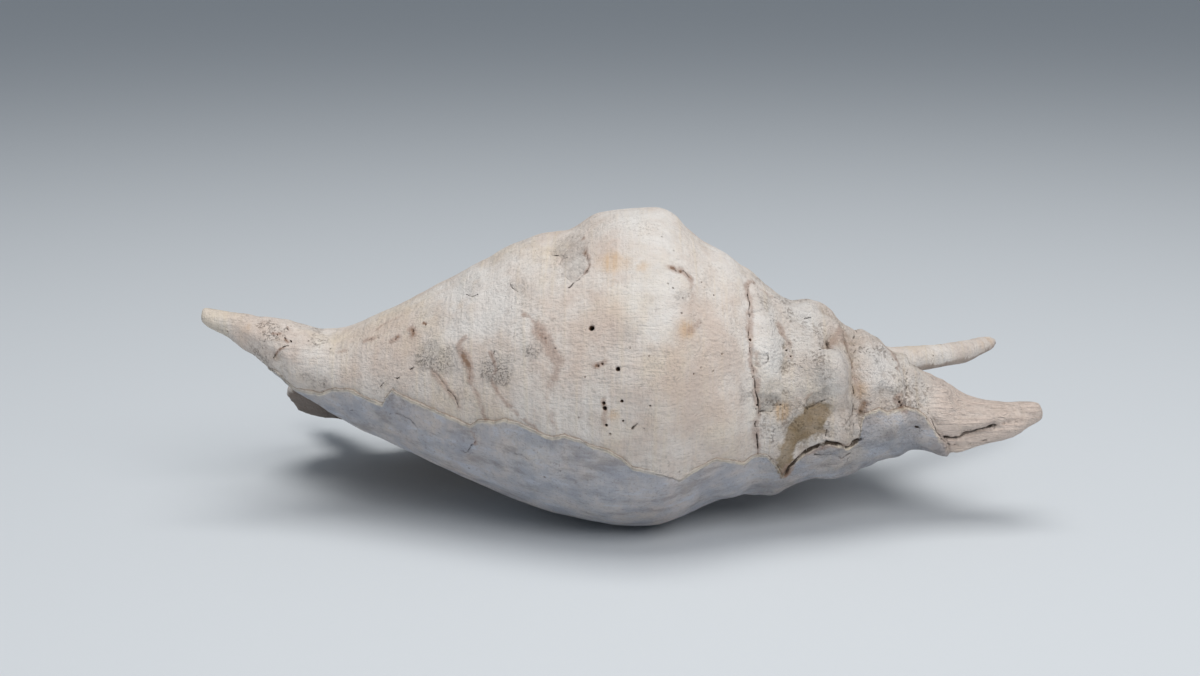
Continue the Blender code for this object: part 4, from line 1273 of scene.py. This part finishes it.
# Colours laid over each other, the plain lime first and the holes last.
CHALK_WHITE = (0.79, 0.755, 0.72, 1)
WARM_CHALK = (0.635, 0.535, 0.47, 1)
CREAM = (0.74, 0.64, 0.50, 1)
BLEACH_AND_HIGHLIGHT = (0.78, 0.76, 0.74, 1)
BEIGE_PINK = (0.62, 0.50, 0.43, 1)
ASH = (0.43, 0.405, 0.39, 1)
SCAR_ASH = (0.58, 0.55, 0.53, 1)
BROWN = (0.23, 0.13, 0.075, 1)
ROSE_BROWN = (0.40, 0.285, 0.235, 1)
ORANGE = (0.62, 0.38, 0.17, 1)
RIM_HIGHLIGHT_CREAM = (0.86, 0.76, 0.62, 1)
# Callus glaze greys, darkened by painted shade and tinted by a painted blue reflection.
CALLUS_SHADED_BLUE_GREY = (0.29, 0.31, 0.37, 1)
CALLUS_PALE_REFLECTED_BLUE = (0.50, 0.53, 0.60, 1)
SMEAR_GREY = (0.21, 0.185, 0.18, 1)
# Brown of the painted shade in the hollows.
HOLLOW_SHADE_BROWN = (0.34, 0.265, 0.20, 1)
CRACK_DARK = (0.06, 0.038, 0.025, 1)
PIT_BROWN = (0.12, 0.065, 0.038, 1)
PIT_DARK = (0.02, 0.014, 0.01, 1)
INNER_ROSE_SHADED = (0.30, 0.215, 0.165, 1)
TICK_GREY = (0.44, 0.39, 0.35, 1)
OLIVE = (0.31, 0.225, 0.13, 1)
FLAW_DARK = (0.17, 0.145, 0.125, 1)
LOBE_SHADED_BROWN = (0.15, 0.115, 0.095, 1)
SPINE_BEIGE = (0.82, 0.68, 0.60, 1)
tone = total((between(broad, 0.36, 0.64), 0.42), (between(soft_bands, 0.34, 0.68), 0.22),
             (between(mottle, 0.36, 0.68), 0.42))
COLOUR_LAYERS = [
    # share of the surface, colour laid over what is below it
    (tone, WARM_CHALK),
    (times(between(noise(55, 5, 0.6, offset=11.0), 0.5, 0.72), 0.55), CREAM),
    (times(between(noise(95, 6, 0.72, offset=13.0), 0.52, 0.72), 0.45), ASH),
    (times(between(fine_mottle, 0.50, 0.74), 0.34), ASH),
    (times(between(growth_lines, 0.52, 0.66), 0.30), TICK_GREY),
    (times(between(cord_lines, 0.50, 0.68), 0.28), CREAM),
    (times(between(grain, 0.52, 0.72), 0.25), WARM_CHALK),
    (times(warm_mark, between(mottle, 0.3, 0.6, 0.20, 0.5)), BEIGE_PINK),
    # Bleached patches; on the big spire knob this is a painted highlight.
    (times(bleach_and_highlight_mark, between(mottle, 0.35, 0.65, 0.72, 0.40)), BLEACH_AND_HIGHLIGHT),
    (times(spine_mark, between(fibres, 0.35, 0.7, 0.55, 0.9)), SPINE_BEIGE),
    # Callus glaze: grey darkened by painted shade and tinted by a painted blue reflection; its pale streaks
    # carry the painted blue too.
    (times(callus_mark, between(mottle, 0.3, 0.7, 0.85, 0.35)), CALLUS_SHADED_BLUE_GREY),
    (times(callus_mark, between(smear, 0.5, 0.66, 0.0, 0.5)), SMEAR_GREY),
    (times(callus_mark, between(smear, 0.36, 0.46, 0.55, 0.0)), CALLUS_PALE_REFLECTED_BLUE),
    (times(callus_mark, between(grain, 0.55, 0.65, 0.0, 0.4)), SMEAR_GREY),
    # Inner faces: the shell's rose-brown, darkened by painted shade.
    (times(inner_mark, between(mottle, 0.3, 0.7, 0.85, 0.55)), INNER_ROSE_SHADED),
    (times(ragged_share(ash_mark, 0.15, 0.55), 0.4), SCAR_ASH),
    (times(lip_mark, between(mottle, 0.3, 0.65, 0.15, 0.5)), BEIGE_PINK),
    (times(ragged_share(specked_mark, 0.1, 1.1), 0.34), ASH),
    (times(fine_specks, 0.7), FLAW_DARK),
    (times(spire_flaws, 0.36), BROWN),
    (times(plain_flaws, 0.30), FLAW_DARK),
    # Painted shade: the lobe in deep brown over its brownish inner face.
    (times(shaded_lobe_mark, between(mottle, 0.3, 0.7, 0.6, 0.9)), LOBE_SHADED_BROWN),
    (times(ragged_share(olive_mark, 0.1, 0.8), between(mottle, 0.34, 0.64, 1.0, 0.7)), OLIVE),
    (times(ragged_share(orange_mark, 0.12, 1.15), between(cord_lines, 0.42, 0.6, 0.34, 0.54)), ORANGE),
    (times(ragged_share(brown_mark, 0.12, 0.58), 0.62), ROSE_BROWN),
    (times(ragged_share(brown_mark, 0.62, 1.0), 0.8), BROWN),
    # Painted shade in the hollows, broken up by the fine mottle.
    (times(hollow_shade_mark, between(fine_mottle, 0.38, 0.62, 0.08, 0.72)), HOLLOW_SHADE_BROWN),
    # Painted shadow in brown just below the callus rim.
    (times(ragged_share(shadow_under_rim_mark, 0.4, 0.9), 0.55), BROWN),
    # Painted highlight: a cream line along the top of the callus rim.
    (times(rim_highlight_mark, between(fine_mottle, 0.35, 0.65, 1.0, 0.6)), RIM_HIGHLIGHT_CREAM),
    (times(dot_share, 0.65), BROWN),
    (times(crack_share, 0.95), CRACK_DARK),
    (ragged_share(pit_mark, 0.40, 0.55), PIT_BROWN),
    (between(pit_mark, 0.55, 0.72), PIT_DARK),
]
colour = CHALK_WHITE
for share, paint in COLOUR_LAYERS:
    colour = linked("ShaderNodeMix", {"data_type": "RGBA"}, i0=share, i6=colour, i7=paint).outputs[2]
tree.links.new(colour, surface.inputs["Base Color"])

# Sheen: dull lime, a little smoother on the callus and inside. Below it, the finest relief.
DULL, CALLUS_SMOOTHER, INSIDE_SMOOTHER, SPECULAR = 0.88, 0.24, 0.3, 0.32
FINEST_RELIEF = 0.0009
roughness = combined("SUBTRACT", DULL, times(callus_mark, CALLUS_SMOOTHER))
roughness = combined("SUBTRACT", roughness, times(inner_mark, INSIDE_SMOOTHER))
tree.links.new(roughness, surface.inputs["Roughness"])
surface.inputs["Specular IOR Level"].default_value = SPECULAR
height = total((grain, 0.34), (fine_mottle, 0.55), (mottle, 0.45), (growth_lines, 0.42), (cord_lines, 0.30))
height = times(height, combined("SUBTRACT", 1.0, times(callus_mark, 0.55)))
height = total(
    (height, 1.0),
    (times(pocks, spire_mark), 1.1),
    (times(fibres, spine_mark), 2.6),
    (times(total((fine_mottle, 0.9), (grain, 0.7)), ash_mark), 1.3),
    (dot_share, -0.8),
    (combined("MAXIMUM", fine_specks, spire_flaws), -0.45),
    (crack_share, -0.7),
)
bump = linked("ShaderNodeBump", Height=height, Strength=1.0, Distance=FINEST_RELIEF)
tree.links.new(bump.outputs[0], surface.inputs["Normal"])

shell = bpy.data.objects.new("worn_conch_shell", shell_mesh)
bpy.context.scene.collection.objects.link(shell)
shell_mesh.polygons.foreach_set("use_smooth", np.ones(len(shell_mesh.polygons), dtype=bool))
shell_mesh.materials.clear()
shell_mesh.materials.append(bleached)
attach(shell, "root")
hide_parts("spider_conch_shell")


# Floor and light: a plain pale floor, a large soft light overhead and a
# slightly stronger one from the front, at the camera's right, under a pale sky.
FLOOR_SIZE = 6.0
half = FLOOR_SIZE / 2
floor_mesh = bpy.data.meshes.new("floor")
corners = [(-half, -half, 0), (half, -half, 0), (half, half, 0), (-half, half, 0)]
floor_mesh.from_pydata(corners, [], [(0, 1, 2, 3)])
floor = bpy.data.objects.new("floor", floor_mesh)
bpy.context.scene.collection.objects.link(floor)
floor_paint = bpy.data.materials.new("pale floor")
floor_paint.use_nodes = True
floor_surface = floor_paint.node_tree.nodes["Principled BSDF"]
floor_surface.inputs["Base Color"].default_value = (0.66, 0.70, 0.74, 1)
floor_surface.inputs["Roughness"].default_value = 0.9
floor_mesh.materials.append(floor_paint)

LIT_POINT = Vector((0, 0, 0.04))


def soft_light(name, place, size, power, colour):
    """Square lamp at a place in metres, facing the shell."""
    data = bpy.data.lights.new(name, "AREA")
    data.shape = "SQUARE"
    data.size = size
    data.energy = power
    data.color = colour
    lamp = bpy.data.objects.new(name, data)
    lamp.location = place
    lamp.rotation_euler = (LIT_POINT - Vector(place)).to_track_quat("-Z", "Y").to_euler()
    bpy.context.scene.collection.objects.link(lamp)


soft_light("overhead", (0.0, -0.12, 0.9), 0.55, 4.4, (1.0, 0.975, 0.94))
soft_light("front", (0.42, -0.80, 0.78), 0.6, 5.6, (1.0, 0.97, 0.94))
world = bpy.data.worlds.new("studio")
world.use_nodes = True
sky = world.node_tree.nodes["Background"]
sky.inputs["Color"].default_value = (0.85, 0.92, 1.0, 1)
sky.inputs["Strength"].default_value = 0.28
bpy.context.scene.world = world
bpy.context.scene.view_settings.view_transform = "Standard"
